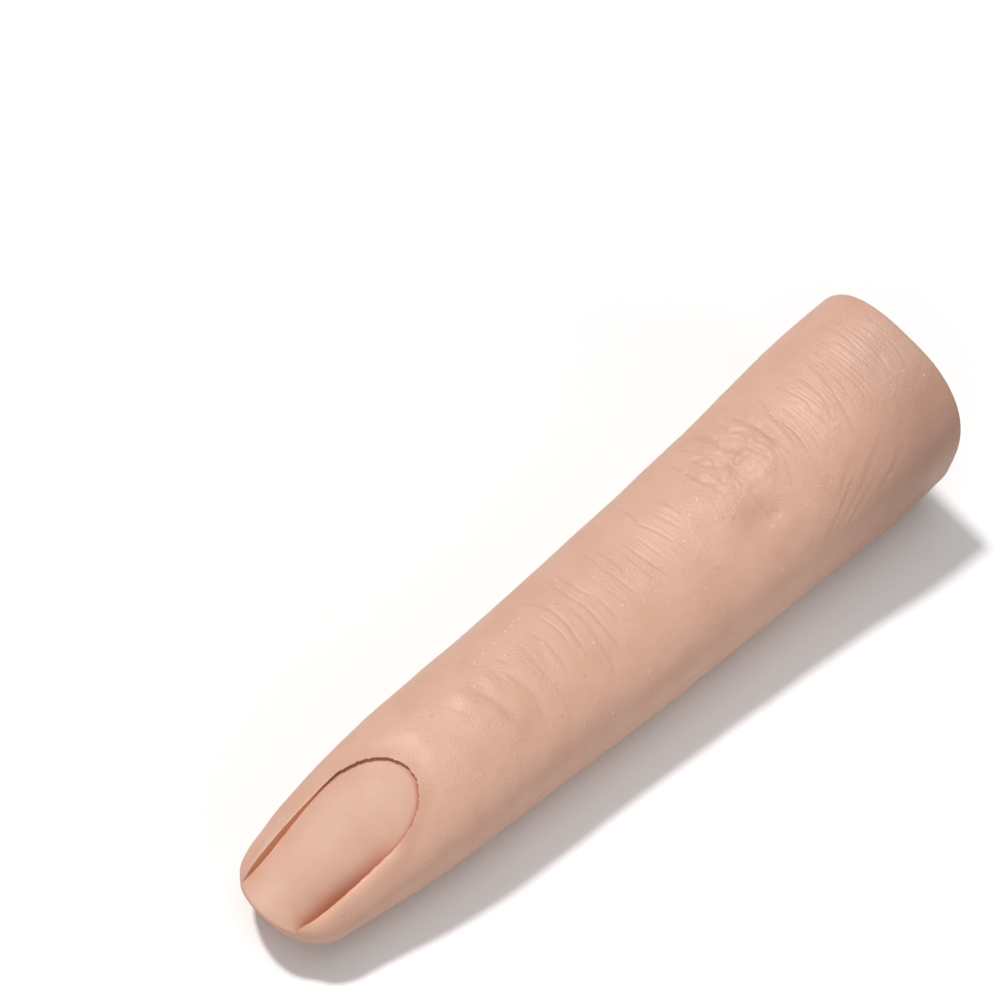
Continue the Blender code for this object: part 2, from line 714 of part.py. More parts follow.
def main():
    clear_scene()
    parts = new_collection("nail_practice_finger")
    cutters = new_collection("cutters")
    skin = new_material("skin_silicone", SKIN_COLOUR, roughness=0.55)
    knuckle_skin = new_material("knuckle_silicone", SKIN_COLOUR, roughness=0.55)
    bed_silicone = new_material("nail_bed_silicone", NAIL_BED_COLOUR, roughness=0.6)
    plastic = new_material("bone_plastic", BONE_COLOUR, roughness=0.5)
    steel = new_material("pin_steel", STEEL_COLOUR, roughness=0.3, metallic=1.0)
    rubber = new_material("washer_rubber", WASHER_COLOUR, roughness=0.7)

    form = as_cutter(add_form("finger_form", cutters))
    bed, pocket = add_nail_bed(parts, cutters, form, bed_silicone)
    skins = add_skins(parts, cutters, form, pocket, skin, knuckle_skin)
    proximal, middle, distal = add_bones(parts, cutters, plastic)
    add_knuckle_hardware("pip", PIP, parts, steel, rubber)
    dip_hardware = add_knuckle_hardware("dip", DIP, parts, steel, rubber)

    pip_joint = add_joint_empty("pip_joint", PIP, parts)
    dip_joint = add_joint_empty("dip_joint", DIP, parts, pip_joint)
    for obj in (skins["middle_skin"], skins["dip_knuckle_skin"], middle, *dip_hardware):
        follow(obj, pip_joint)
    for obj in (skins["distal_skin"], bed, distal):
        follow(obj, dip_joint)


main()
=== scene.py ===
# %% [markdown]
# # A nail practice finger
# A practice finger is a soft silicone casting round a jointed core. A press-on nail slides over its nail
# bed. The jointed core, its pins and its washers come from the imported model, which is the fixed frame of
# this scene. The soft skin is what the eye sees, so it is modelled here in much finer detail, in the same
# place.

# %% Load the frame
import json
import math
import random
import bpy
import numpy as np
from mathutils import Matrix, Vector, noise


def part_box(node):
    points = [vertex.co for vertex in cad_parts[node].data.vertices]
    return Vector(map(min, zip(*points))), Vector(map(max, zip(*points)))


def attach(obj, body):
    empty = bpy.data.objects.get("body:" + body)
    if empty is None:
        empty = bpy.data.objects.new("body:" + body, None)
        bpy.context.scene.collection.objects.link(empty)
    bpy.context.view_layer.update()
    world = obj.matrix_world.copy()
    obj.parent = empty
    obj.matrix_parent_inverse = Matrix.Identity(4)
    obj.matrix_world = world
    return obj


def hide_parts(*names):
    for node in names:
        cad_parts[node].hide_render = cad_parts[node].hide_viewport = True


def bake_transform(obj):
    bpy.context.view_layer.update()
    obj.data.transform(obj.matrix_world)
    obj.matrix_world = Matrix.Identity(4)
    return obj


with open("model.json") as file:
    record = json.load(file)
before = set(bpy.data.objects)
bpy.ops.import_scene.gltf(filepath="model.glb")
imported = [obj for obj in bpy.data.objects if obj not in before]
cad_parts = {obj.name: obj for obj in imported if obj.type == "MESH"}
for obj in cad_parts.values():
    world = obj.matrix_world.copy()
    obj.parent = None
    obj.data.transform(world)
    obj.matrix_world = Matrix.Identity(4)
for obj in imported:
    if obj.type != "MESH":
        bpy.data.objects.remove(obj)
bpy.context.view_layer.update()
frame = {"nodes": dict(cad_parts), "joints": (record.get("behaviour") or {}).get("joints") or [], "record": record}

bpy.ops.object.select_all(action="DESELECT")

# %% [markdown]
# ## Sizes
# A modeller first fixes the few sizes that drive everything else. Here they are read from the frame, so the
# skin always fits the core inside it. The numbers are kept in millimetres, because creases are fractions of
# one.

# %% Driving sizes, in millimetres
MILLIMETRE = 0.001
WIDEST_SHARE = 1.03
mounts = {mount["name"]: mount for mount in frame["record"]["mounts"]}
root_centre = Vector(mounts["root_face"]["pos_m"]) / MILLIMETRE
skin_low, skin_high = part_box("proximal_skin")
FINGER_LENGTH = 2 * root_centre.y
TIP_Y = -root_centre.y
ROOT_HEIGHT = 2 * root_centre.z
ROOT_WIDTH = (skin_high.x - skin_low.x) / MILLIMETRE / WIDEST_SHARE
joints = {joint["name"]: joint for joint in frame["joints"]}
PIP_Y = joints["pip_flexion"]["pos_m"][1] / MILLIMETRE
DIP_Y = joints["dip_flexion"]["pos_m"][1] / MILLIMETRE
print(f"finger {FINGER_LENGTH:.1f} long, {ROOT_WIDTH:.1f} wide and {ROOT_HEIGHT:.1f} high at the root")

# %% [markdown]
# ## The form of the finger
# A finger is a stack of ovals. Each row below gives how far along the finger an oval lies, how wide it is,
# and where its top and its sole are, as shares of the root's size. A smooth curve runs through the rows, so
# a few of them are enough. The ovals are a little squarer than an ellipse, and squarer still underneath.

# %% Ovals along the finger
FORM_SHARES = (
    (0.00, 0.604, 0.370, 0.130),
    (0.06, 0.636, 0.432, 0.086),
    (0.10, 0.680, 0.482, 0.063),
    (0.16, 0.748, 0.560, 0.042),
    (0.23, 0.792, 0.632, 0.020),
    (0.30, 0.812, 0.672, 0.000),
    (0.40, 0.842, 0.686, -0.018),
    (0.50, 0.881, 0.697, -0.021),
    (0.60, 0.916, 0.737, -0.021),
    (0.70, 0.946, 0.795, -0.021),
    (0.80, 0.985, 0.858, -0.021),
    (0.90, 1.030, 0.926, -0.021),
    (1.00, 1.000, 1.000, -0.021),
)
NOSE_LENGTH = 5.0
NOSE_HEIGHT = 0.258 * ROOT_HEIGHT
NOSE_POWER = 2.2
CROWN_POWER = 2.1
SOLE_POWER = 2.35
ROOT_SQUARING = 0.5
SQUARING_FROM = 0.8
SIDE_BOW = 0.45
ROOT_SLANT = math.tan(math.radians(3.0))
SLANT_START = 0.75


def smooth_step(value):
    """0 up to 0 and 1 from 1, with a soft start and end between them."""
    t = np.clip(value, 0, 1)
    return t * t * (3 - 2 * t)


def ramp(value, start, end):
    """0 at the start and 1 at the end, with a soft step between. The end may be the smaller of the two."""
    return smooth_step((value - start) / (end - start))


def hill(value, middle, breadth):
    """1 in the middle, fading on both sides."""
    return np.exp(-(((value - middle) / breadth) ** 2))


def through(points, place):
    """The heights of a smooth curve through a few (place, height) points, at an array of places."""
    places, heights = np.array(points, float).T
    last = len(places) - 1
    before = np.maximum(np.arange(last + 1) - 1, 0)
    after = np.minimum(np.arange(last + 1) + 1, last)
    slopes = (heights[after] - heights[before]) / (places[after] - places[before])
    k = np.clip(np.searchsorted(places, place, side="right") - 1, 0, last - 1)
    width = places[k + 1] - places[k]
    t = np.clip((place - places[k]) / width, 0, 1)
    start = (2 * t**3 - 3 * t**2 + 1) * heights[k] + (t**3 - 2 * t**2 + t) * width * slopes[k]
    end = (3 * t**2 - 2 * t**3) * heights[k + 1] + (t**3 - t**2) * width * slopes[k + 1]
    return start + end


def section_sizes(from_tip):
    """Side offset, half width, top and sole of the ovals at distances from the tip."""
    share = np.clip(from_tip / FINGER_LENGTH, 0, 1)
    columns = [[(row[0], row[k]) for row in FORM_SHARES] for k in (1, 2, 3)]
    half_width = through(columns[0], share) * ROOT_WIDTH / 2
    top = through(columns[1], share) * ROOT_HEIGHT
    sole = through(columns[2], share) * ROOT_HEIGHT
    nose = np.clip(from_tip / NOSE_LENGTH, 0, 1)
    swell = (1 - (1 - nose) ** NOSE_POWER) ** (1 / NOSE_POWER)
    half_width = half_width * swell
    top = NOSE_HEIGHT + (top - NOSE_HEIGHT) * swell
    sole = NOSE_HEIGHT + (sole - NOSE_HEIGHT) * swell
    return SIDE_BOW * 4 * share * (1 - share), half_width, top, sole


def rounded(value, power):
    """A sine or cosine bent so that a circle becomes a squarer oval."""
    return np.copysign(np.abs(value) ** (2 / power), value)


def form_points(from_tip, turn, shrink=1.0):
    """Points on the plain form. Turn is 0 on the crown, rises towards +X, and is half a turn at the sole."""
    side, half_width, top, sole = section_sizes(from_tip)
    squarer = ROOT_SQUARING * ramp(from_tip / FINGER_LENGTH, SQUARING_FROM, 1)
    power = np.where(np.cos(turn) >= 0, CROWN_POWER, SOLE_POWER) + squarer
    x = side + shrink * half_width * rounded(np.sin(turn), power)
    z = (top + sole) / 2 + shrink * (top - sole) / 2 * rounded(np.cos(turn), power)
    slant = np.clip((from_tip / FINGER_LENGTH - SLANT_START) / (1 - SLANT_START), 0, 1)
    y = TIP_Y + from_tip - slant * x * ROOT_SLANT
    return np.stack([x, y, z], axis=-1)


def form_normals(from_tip, turn):
    """Outward directions of the plain form, from the lie of its surface along and around."""
    step = 0.01
    along = form_points(from_tip + step, turn) - form_points(from_tip - step, turn)
    around = form_points(from_tip, turn + step) - form_points(from_tip, turn - step)
    normal = np.cross(around, along)
    length = np.linalg.norm(normal, axis=-1, keepdims=True)
    return normal / np.maximum(length, 1e-9)


# %% [markdown]
# ## Creases, lumps and specks
# A casting copies every line of the hand that it was taken from. Sculpting them by brush gives a soft,
# random look, so each main crease is laid out instead as a path over the skin: how far round from the crown
# it lies, and how far along the finger. A crease is a narrow valley with a slight swell on both sides,
# fading at its ends.

# %% Main creases: strength, half width, then (round from the crown, along the finger) points
CREASES = (
    (0.05, 0.30, ((-2.5, -18.0), (-1.0, -17.6), (0.6, -16.9))),
    (0.12, 0.46, ((-2.8, -14.9), (-1.9, -14.9), (0.0, -14.6), (2.2, -14.5), (3.2, -14.4))),
    (0.08, 0.50, ((3.4, -13.6), (5.0, -13.4))),
    (0.07, 0.20, ((-2.0, -12.4), (-0.6, -12.2), (0.4, -12.1))),
    (0.08, 0.32, ((-1.4, -11.5), (0.6, -11.4), (2.0, -11.3), (3.8, -11.7), (5.2, -12.1))),
    (0.09, 0.22, ((-3.2, -11.1), (-2.2, -10.8), (-1.3, -10.7))),
    (0.06, 0.24, ((-2.2, -8.4), (0.0, -8.7), (2.9, -8.9), (5.2, -9.3), (7.2, -9.8))),
    (0.06, 0.22, ((-3.0, -6.7), (-0.6, -6.4), (1.2, -6.6), (2.8, -7.1))),
    (0.09, 0.18, ((-3.8, -4.7), (-1.8, -4.6), (-0.4, -4.6), (0.6, -4.8))),
    (0.13, 0.18, ((-6.2, -4.3), (-4.1, -3.5), (-2.5, -3.35), (-1.0, -3.5), (0.2, -3.8), (2.2, -4.2))),
    (0.08, 0.26, ((-2.6, -1.8), (0.4, -2.05), (2.4, -2.5), (4.2, -2.8), (6.0, -3.4))),
    (0.05, 0.24, ((3.4, -3.5), (4.6, -3.8), (6.2, -4.1))),
    (0.11, 0.16, ((-6.4, -0.7), (-4.4, -1.0), (-2.6, -1.0), (-1.0, -0.8), (0.6, -0.95), (4.4, -1.3))),
    (0.12, 0.15, ((-6.0, 0.3), (-3.9, 0.15), (-2.0, 0.3))),
    (0.08, 0.18, ((-1.2, 0.65), (0.4, 0.7), (1.4, 0.6), (2.2, 0.1))),
    (0.06, 0.18, ((-4.6, 1.8), (-3.0, 2.0), (-1.4, 1.95), (0.6, 2.3), (1.6, 2.3))),
    (0.10, 0.14, ((-6.4, 3.6), (-4.0, 3.55), (-2.1, 3.5), (0.6, 3.7), (1.4, 3.8))),
    (0.09, 0.14, ((-6.0, 4.9), (-4.2, 4.7), (-2.6, 4.7), (-0.8, 4.5))),
    (0.07, 0.14, ((-3.8, 6.2), (-1.2, 6.0), (1.6, 6.15))),
    (0.12, 0.13, ((-3.4, 6.85), (-0.7, 6.95), (0.6, 7.15), (2.4, 7.5))),
    (0.07, 0.13, ((-3.2, 8.1), (-1.6, 8.3), (0.8, 8.35))),
    (0.12, 0.14, ((-7.4, 10.0), (-5.5, 9.9), (-3.9, 9.6), (-2.3, 9.95), (-0.3, 10.3))),
    (0.08, 0.12, ((-0.4, 9.6), (0.2, 9.7), (0.9, 9.9))),
    (0.08, 0.15, ((-3.8, 11.4), (-2.0, 11.6), (-0.6, 11.9))),
    (0.08, 0.16, ((-5.2, 12.6), (-3.4, 12.9), (-1.4, 13.1))),
    (0.15, 0.15, ((-7.2, 16.8), (-5.3, 16.8), (-3.0, 16.75), (-2.1, 17.15), (-0.5, 17.35))),
    (0.12, 0.18, ((-8.8, 19.2), (-7.2, 19.2), (-6.0, 19.3))),
    (0.09, 0.18, ((-5.2, 18.2), (-3.9, 18.75), (-2.7, 19.1), (-1.8, 19.55))),
    (0.07, 0.18, ((-2.2, 19.6), (-1.0, 19.5), (0.2, 19.3), (2.9, 19.3), (4.9, 19.1))),
    (0.14, 0.36, ((-8.4, 21.1), (-6.4, 21.1), (-4.2, 21.1), (-2.6, 21.5), (-1.2, 21.2))),
    (0.10, 0.30, ((-6.8, 23.1), (-5.2, 23.2), (-3.8, 23.5), (-2.6, 23.1))),
    (0.15, 0.26, ((-7.0, 24.5), (-3.9, 24.8), (-2.1, 24.9), (-0.3, 24.7))),
    (0.07, 0.22, ((-0.8, 24.7), (1.1, 24.3), (2.2, 23.6), (3.8, 22.9))),
    (0.08, 0.11, ((-0.7, 22.1), (0.4, 22.05), (1.4, 22.0))),
    (0.08, 0.16, ((-0.2, 21.3), (0.5, 20.9), (1.2, 20.6))),
    (0.11, 0.10, ((-6.0, 27.8), (-3.9, 27.2), (-2.8, 26.7), (-1.9, 26.9), (-0.3, 27.0), (1.0, 26.8),
                  (3.0, 26.2))),
    (0.07, 0.10, ((-3.4, 28.1), (-1.4, 28.1), (0.4, 27.9), (1.8, 27.9))),
    (0.11, 0.13, ((-6.0, 29.7), (-3.9, 30.0), (-2.0, 30.25), (-0.3, 29.9), (2.0, 29.9))),
    (0.09, 0.14, ((-4.4, 31.9), (-1.6, 31.8), (0.0, 31.4), (0.9, 30.8), (2.2, 30.5))),
    (0.11, 0.13, ((-5.0, 33.7), (-2.1, 33.2), (-0.5, 32.8), (0.6, 32.4), (2.5, 31.8), (4.4, 31.2))),
    (0.09, 0.12, ((-4.4, 34.8), (-2.1, 34.2), (-0.3, 33.9), (2.0, 33.3))),
    (0.08, 0.12, ((-5.8, 35.1), (-2.0, 35.1), (1.1, 34.9), (2.6, 34.6))),
    (0.08, 0.11, ((-6.0, 36.0), (-0.7, 36.1), (2.0, 35.9))),
    (0.10, 0.11, ((-4.4, 37.3), (-1.2, 37.3), (2.0, 37.2))),
    (0.09, 0.12, ((-7.8, 37.9), (-4.6, 38.15), (-1.6, 37.8))),
    (0.09, 0.12, ((-6.4, 39.1), (-1.9, 39.0), (-0.3, 38.9), (2.0, 38.2))),
    (0.05, 0.11, ((-3.6, 40.4), (-1.0, 40.2), (0.4, 40.0))),
    (0.05, 0.11, ((-3.8, 41.3), (-1.0, 41.2))),
)

# %% Slanting creases low on the +X side, in the same form
SIDE_CREASES = (
    (0.04, 0.24, ((4.4, 27.1), (5.2, 26.3), (6.0, 25.5))),
    (0.06, 0.22, ((5.8, 30.2), (7.0, 28.2), (7.9, 26.6))),
    (0.10, 0.24, ((6.7, 31.6), (7.9, 29.5), (8.8, 27.7), (9.9, 25.6))),
    (0.10, 0.22, ((8.2, 30.7), (9.5, 28.3), (10.6, 26.1))),
    (0.07, 0.22, ((9.0, 32.3), (10.2, 29.2), (11.1, 26.6))),
    (0.06, 0.22, ((8.6, 33.0), (9.4, 31.4), (10.2, 30.2))),
    (0.07, 0.24, ((6.9, 35.4), (7.9, 34.1), (9.5, 32.5))),
    (0.06, 0.24, ((7.9, 37.0), (8.8, 35.6), (9.9, 34.2))),
    (0.04, 0.34, ((2.3, 37.2), (3.8, 36.2), (5.6, 34.6))),
    (0.04, 0.30, ((2.2, 28.9), (3.4, 28.0), (4.8, 26.8))),
)

# %% Soft swells and hollows: along, round, half length, half breadth, height
MOUNDS = (
    (-16.4, -1.6, 0.9, 1.8, 0.12),
    (-13.3, -1.2, 0.6, 1.2, 0.10),
    (-15.4, 4.0, 0.8, 0.8, 0.08),
    (-12.9, 2.6, 0.7, 1.4, 0.09),
    (-10.1, 1.0, 0.7, 2.0, 0.08),
    (15.4, -1.0, 1.4, 1.6, 0.08),
    (18.4, 3.6, 2.8, 1.6, -0.36),
    (19.9, 4.3, 0.5, 0.5, -0.12),
    (22.6, 0.5, 1.0, 1.0, 0.24),
    (17.9, -3.4, 0.8, 1.4, 0.16),
    (20.3, -2.2, 0.7, 1.1, -0.20),
    (22.1, -3.4, 0.7, 0.8, -0.18),
    (21.9, -1.9, 0.6, 0.6, 0.16),
    (23.8, -1.4, 0.6, 0.9, 0.14),
    (25.3, -2.6, 0.5, 2.4, -0.14),
    (26.2, -2.0, 0.6, 2.0, 0.12),
    (17.4, 0.6, 1.2, 1.0, 0.15),
    (20.4, 5.8, 1.6, 1.0, 0.14),
    (39.0, 8.0, 2.6, 2.4, -0.25),
)


# %% The cut of one crease
CREASE_DEPTH = 0.40
CREASE_RUN_OUT = 0.7
CREASE_FADE = 2.0
SWELL_AWAY = 2.2
SWELL_SHARE = 0.10


def crease(round_way, y, path, strength, half_width):
    """The height change that one crease gives over the skin, and how deep in the crease each point lies."""
    step = 0.05
    line = through(path, round_way)
    slope = (through(path, round_way + step) - through(path, round_way - step)) / (2 * step)
    away = np.abs(y - line) / np.sqrt(1 + slope**2) / half_width
    start = smooth_step((round_way - path[0][0] + CREASE_RUN_OUT) / CREASE_FADE)
    end = smooth_step((path[-1][0] + CREASE_RUN_OUT - round_way) / CREASE_FADE)
    deep = start * end * strength * CREASE_DEPTH
    valley = hill(away, 0, 1)
    return deep * (SWELL_SHARE * hill(away, SWELL_AWAY, 1) - valley), np.abs(deep) * valley


# %% [markdown]
# ## Fine lines and specks
# Between the main creases the skin has many finer lines, and the mould leaves tiny pimples and pinholes.
# Nobody places those one by one, so they are drawn from a seeded dice: the same lines come out every time
# it runs.

# %% Fine lines across the finger: zones of start, end, spacing, strength and reach
FINE_ZONES = (
    (26.0, 41.8, 0.30, 0.055, 4.4),
    (15.0, 26.0, 0.70, 0.032, 3.0),
    (-0.5, 14.6, 0.60, 0.018, 3.6),
    (-13.0, -1.0, 0.90, 0.016, 3.6),
)
LINE_MIDDLE = (-1.7, 1.5)
LINE_REACH = (0.45, 1.0)
LINE_SHARES = (-1, -0.6, -0.2, 0.2, 0.6, 1)
LINE_SHAKE = 0.02
LINE_STRENGTH = (0.4, 1.4)
LINE_HALF_WIDTH = (0.07, 0.11)
LINE_SPACING = (0.5, 1.6)
DROOP = 0.035
DROOP_FROM = -1.5
WAVER = 0.35
WAVER_PACE = (0.45, 0.28)
WAVER_LAYER = 2.0
dice = random.Random(7)


def flow(y, round_way):
    """How far a line across the finger bends towards the tip, which neighbouring lines share."""
    droop = DROOP * max(round_way - DROOP_FROM, 0) ** 2
    waver = noise.noise(Vector((y * WAVER_PACE[0], round_way * WAVER_PACE[1], WAVER_LAYER)))
    return y - droop + WAVER * waver


def fine_lines():
    """Long, shallow, nearly parallel creases for every zone of fine lines."""
    lines = []
    for start, end, spacing, strength, reach in FINE_ZONES:
        y = start
        while y < end:
            middle = dice.gauss(*LINE_MIDDLE)
            reach_here = reach * dice.uniform(*LINE_REACH)
            places = [middle + reach_here * share for share in LINE_SHARES]
            path = tuple((place, flow(y, place) + dice.gauss(0, LINE_SHAKE)) for place in places)
            lines.append((strength * dice.uniform(*LINE_STRENGTH), dice.uniform(*LINE_HALF_WIDTH), path))
            y += spacing * dice.uniform(*LINE_SPACING)
    return lines


# %% Fine lines that slant over the root's side: start, end, spacing and strength
SLANT_ZONE = (28.0, 39.0, 0.34, 0.075)
SLANT_SLOPE = -1.75
SLANT_MIDDLE = 6.0
SLANT_WAYS = (2.8, 8.5)
SLANT_REACH = (1.2, 2.6)
SLANT_SHARES = (0, 0.5, 1)
SLANT_SIGNS = (1, 1, -1)
SLANT_STRENGTH = (0.6, 1.3)
SLANT_HALF_WIDTH = (0.14, 0.22)


def slanting_lines():
    """Shallow valleys and ridges that slant over the low +X side of the root."""
    start, end, spacing, strength = SLANT_ZONE
    lines = []
    for y in np.arange(start, end, spacing):
        way = dice.uniform(*SLANT_WAYS)
        reach = dice.uniform(*SLANT_REACH)
        places = [way + reach * share for share in SLANT_SHARES]
        path = tuple((place, y + SLANT_SLOPE * (place - SLANT_MIDDLE)) for place in places)
        depth = strength * dice.choice(SLANT_SIGNS) * dice.uniform(*SLANT_STRENGTH)
        lines.append((depth, dice.uniform(*SLANT_HALF_WIDTH), path))
    return lines


# %% Pimples and pinholes: (along, round) points, then a radius and a height
PIMPLE_POINTS = (
    (-8.0, -4.6), (-7.0, -4.7), (-5.9, -4.8), (-9.7, -4.4), (-11.3, -4.3), (-12.6, -4.1), (-13.1, -5.8),
    (-14.6, -2.0), (-5.3, 8.6), (0.0, 7.7), (9.5, 5.2), (-6.6, -1.0), (19.8, 4.3), (30.6, 2.0), (32.2, 9.7),
    (23.2, -5.2), (24.7, -6.4), (16.8, -5.2), (-13.3, 9.8), (-2.9, 2.1), (26.9, -1.9), (18.9, 5.2), (17.5, 9.2),
)
PINHOLE_POINTS = (
    (-9.4, 0.8), (-3.2, -4.4), (0.4, -2.0), (12.7, -7.2), (-6.1, -7.6), (16.3, 2.0), (-5.8, 4.0),
)
PIMPLE = (0.15, 0.08)
PINHOLE = (0.14, -0.10)
STRAY_SPECKS = 110
STRAY_ALONG = (-24, 41)
STRAY_ROUND = (0.0, 4.6)
STRAY_RADIUS = (0.08, 0.14)
STRAY_RISES = (0.03, 0.04, -0.04)


def speckle():
    """Placed pimples and pinholes, and tiny strays between them: along, round, radius, height."""
    specks = [(*point, *PIMPLE) for point in PIMPLE_POINTS]
    specks += [(*point, *PINHOLE) for point in PINHOLE_POINTS]
    for _ in range(STRAY_SPECKS):
        y = dice.uniform(*STRAY_ALONG)
        way = dice.gauss(*STRAY_ROUND)
        specks.append((y, way, dice.uniform(*STRAY_RADIUS), dice.choice(STRAY_RISES)))
    return specks


FINE_LINES = tuple(fine_lines() + slanting_lines())
SPECKS = speckle()
print(len(CREASES) + len(SIDE_CREASES), "creases,", len(FINE_LINES), "fine lines,", len(SPECKS), "specks")

# %% [markdown]
# ## The outline of the nail opening
# The opening is a long U: nearly straight sides that draw in towards the tip, closed by an arc at the
# cuticle. The skin swells and dips round it, so the distance of any point from that outline is needed
# first.

# %% Nail outline
NAIL_LENGTH = 17.6
CUTICLE_ARC = 5.4
STRAIGHT = NAIL_LENGTH - CUTICLE_ARC
LEFT_SIDE = (
    (0.0, 3.36), (1.2, 3.52), (2.3, 3.73), (4.1, 3.95), (6.0, 4.20), (8.7, 4.46), (11.0, 4.56), (12.2, 4.58),
)
RIGHT_SIDE = (
    (0.0, 3.20), (1.2, 3.60), (2.3, 3.95), (3.6, 4.20), (5.5, 4.34), (8.0, 4.42), (11.0, 4.46), (12.2, 4.46),
)
PAST_TIP = 3.0
SEARCH_POINTS = 240


def side_half(from_tip, left):
    """How far the sides of the opening lie from the middle, on the -X side where left is true."""
    place = np.clip(from_tip, 0, STRAIGHT)
    return np.where(left, through(LEFT_SIDE, place), through(RIGHT_SIDE, place))


def opening_half(from_tip, left):
    """The same for the whole opening, with its arc."""
    along = np.clip((from_tip - STRAIGHT) / CUTICLE_ARC, 0, 1)
    return side_half(from_tip, left) * np.sqrt(1 - along**2)


def opening_outline(count):
    """Points round the opening, from the -X side's front round the cuticle to the +X side's front."""
    sides = count // 3
    arc = count - 2 * sides
    sweep = np.linspace(0, math.pi, arc + 2)[1:-1]
    down = np.linspace(-PAST_TIP, STRAIGHT, sides)
    from_tip = np.concatenate([down, STRAIGHT + CUTICLE_ARC * np.sin(sweep), down[::-1]])
    left = np.concatenate([np.ones(sides, bool), np.cos(sweep) > 0, np.zeros(sides, bool)])
    half = side_half(from_tip, left)
    half[sides:sides + arc] *= np.abs(np.cos(sweep))
    return np.where(left, -half, half), from_tip


def distance_to_opening(x, from_tip):
    """How far each point lies from the opening's edge, in plan."""
    nearest = np.full(x.shape, FINGER_LENGTH)
    for edge_x, edge_y in zip(*opening_outline(SEARCH_POINTS)):
        nearest = np.minimum(nearest, np.hypot(x - edge_x, from_tip - edge_y))
    return nearest


def distance_outside(x, from_tip):
    """How far each point lies outside the opening, in plan, and 0 inside it."""
    within = (np.abs(x) < opening_half(from_tip, x < 0)) & (from_tip < NAIL_LENGTH)
    return np.where(within, 0.0, distance_to_opening(x, from_tip))


# %% [markdown]
# ## The skin's relief
# All of it is added up as one height over the plain form: lazy unevenness and pebbles from the casting,
# lumps on the second knuckle, swells and hollows, creases, specks, and the fold of skin that stands round
# the nail. A second number holds painted shade and highlight: creases, hollows and pinholes are painted
# darker for the shade that falls in them, and pimples paler for the highlight that they catch.

# %% Unevenness of the casting, in layers of noise with a length and a breadth
SLOW = (5.0, 4.0)
QUICK = (1.5, 1.3)
PEBBLES = (0.45, 0.40)
LUMPS = (1.15, 1.35)
SLOW_HEIGHT = 0.06
QUICK_HEIGHT = 0.014
PEBBLE_HEIGHT = 0.018
LUMP_HEIGHT = 0.28
PEBBLES_LEAST = 0.25
PEBBLES_ALONG = (13, 18)
PEBBLES_ROUND = (6, 2)
KNUCKLE_MIDDLE = (20.8, -3.2)
KNUCKLE_REACH = 4.2


def noise_over(y, round_way, size):
    """A layer of noise over the skin, from -1 to 1."""
    length, breadth = size
    places = zip(y.ravel() / length, round_way.ravel() / breadth)
    return np.array([noise.noise(Vector((a, b, length))) for a, b in places]).reshape(y.shape)


def unevenness(y, round_way):
    """Slow unevenness of the casting, pebbled skin towards the root, and lumps on the second knuckle."""
    slow, quick, pebbles, lumps = [noise_over(y, round_way, size) for size in (SLOW, QUICK, PEBBLES, LUMPS)]
    pebbled = PEBBLES_LEAST + (1 - PEBBLES_LEAST) * ramp(y, *PEBBLES_ALONG) * ramp(round_way, *PEBBLES_ROUND)
    along, way = KNUCKLE_MIDDLE
    knuckle = np.exp(-(((y - along) / KNUCKLE_REACH) ** 4) - ((round_way - way) / KNUCKLE_REACH) ** 4)
    casting = SLOW_HEIGHT * slow + QUICK_HEIGHT * quick + PEBBLE_HEIGHT * pebbled * pebbles
    return casting + LUMP_HEIGHT * knuckle * np.abs(lumps)


# %% The fold of skin round the nail
REAR = (STRAIGHT - 1.0, STRAIGHT + 1.5)
ROLL_DROP = 0.42
ROLL_BREADTH = 0.75
RIDGE_HEIGHT = 0.10
RIDGE_AWAY = (0.9, 0.6)
LIP_HEIGHT = 0.03
LIP_BREADTH = 0.5
LIP_ROUNDING = 0.06
LIP_ROUNDING_BREADTH = 0.15
CUTICLE_HEIGHT = 0.10
CUTICLE_BREADTH = 0.38
GROOVE_DEPTH = 0.10
GROOVE_AWAY = (1.3, 0.7)
FOLD_FRONT = (0.8, 2.4)
FLANK_DROP = 0.42
FLANK_SIDE = (3.3, 4.2)
FLANK_DRAW_IN = 0.25
FLANK_REAR = (8.6, 3.6)
FLANK_FRONT = (1.2, 3.4)
FLANK_LEAST = 0.35


def nail_fold(x, from_tip):
    """The skin round the opening: rolled on the +X side, a lip on the -X side, and raised at the cuticle."""
    away = distance_outside(x, from_tip)
    rear = ramp(from_tip, *REAR)
    roll = np.clip(1 - away / ROLL_BREADTH, 0, 1)
    ridge = RIDGE_HEIGHT * hill(away, *RIDGE_AWAY) - ROLL_DROP * (1 - np.sqrt(1 - roll**2))
    rounding = LIP_ROUNDING * np.clip(1 - away / LIP_ROUNDING_BREADTH, 0, 1) ** 2
    lip = LIP_HEIGHT * hill(away, 0, LIP_BREADTH) - rounding
    cuticle = CUTICLE_HEIGHT * hill(away, 0, CUTICLE_BREADTH) - GROOVE_DEPTH * hill(away, *GROOVE_AWAY)
    flank = ramp(-x - FLANK_DRAW_IN * from_tip, *FLANK_SIDE) * ramp(from_tip, *FLANK_REAR)
    flank *= FLANK_LEAST + (1 - FLANK_LEAST) * ramp(from_tip, *FLANK_FRONT)
    sides = ramp(from_tip, *FOLD_FRONT) * (1 - rear) * np.where(x > 0, ridge, lip)
    return sides + rear * cuticle - FLANK_DROP * flank


# %% Relief of the whole skin
# Painted shade darkens creases, hollows and pinholes, and a painted highlight makes pimples paler.
CREASE_PAINTED_SHADE = 11.0
HOLLOW_PAINTED_SHADE = 1.6
SPECK_PAINTED_LIGHT = 0.9
NEAR_NAIL_SHARE = 0.25
NEAR_NAIL_END = (NAIL_LENGTH + 0.6, NAIL_LENGTH + 2.6)
FOLD_FOOT = (-2.0, 0.4)


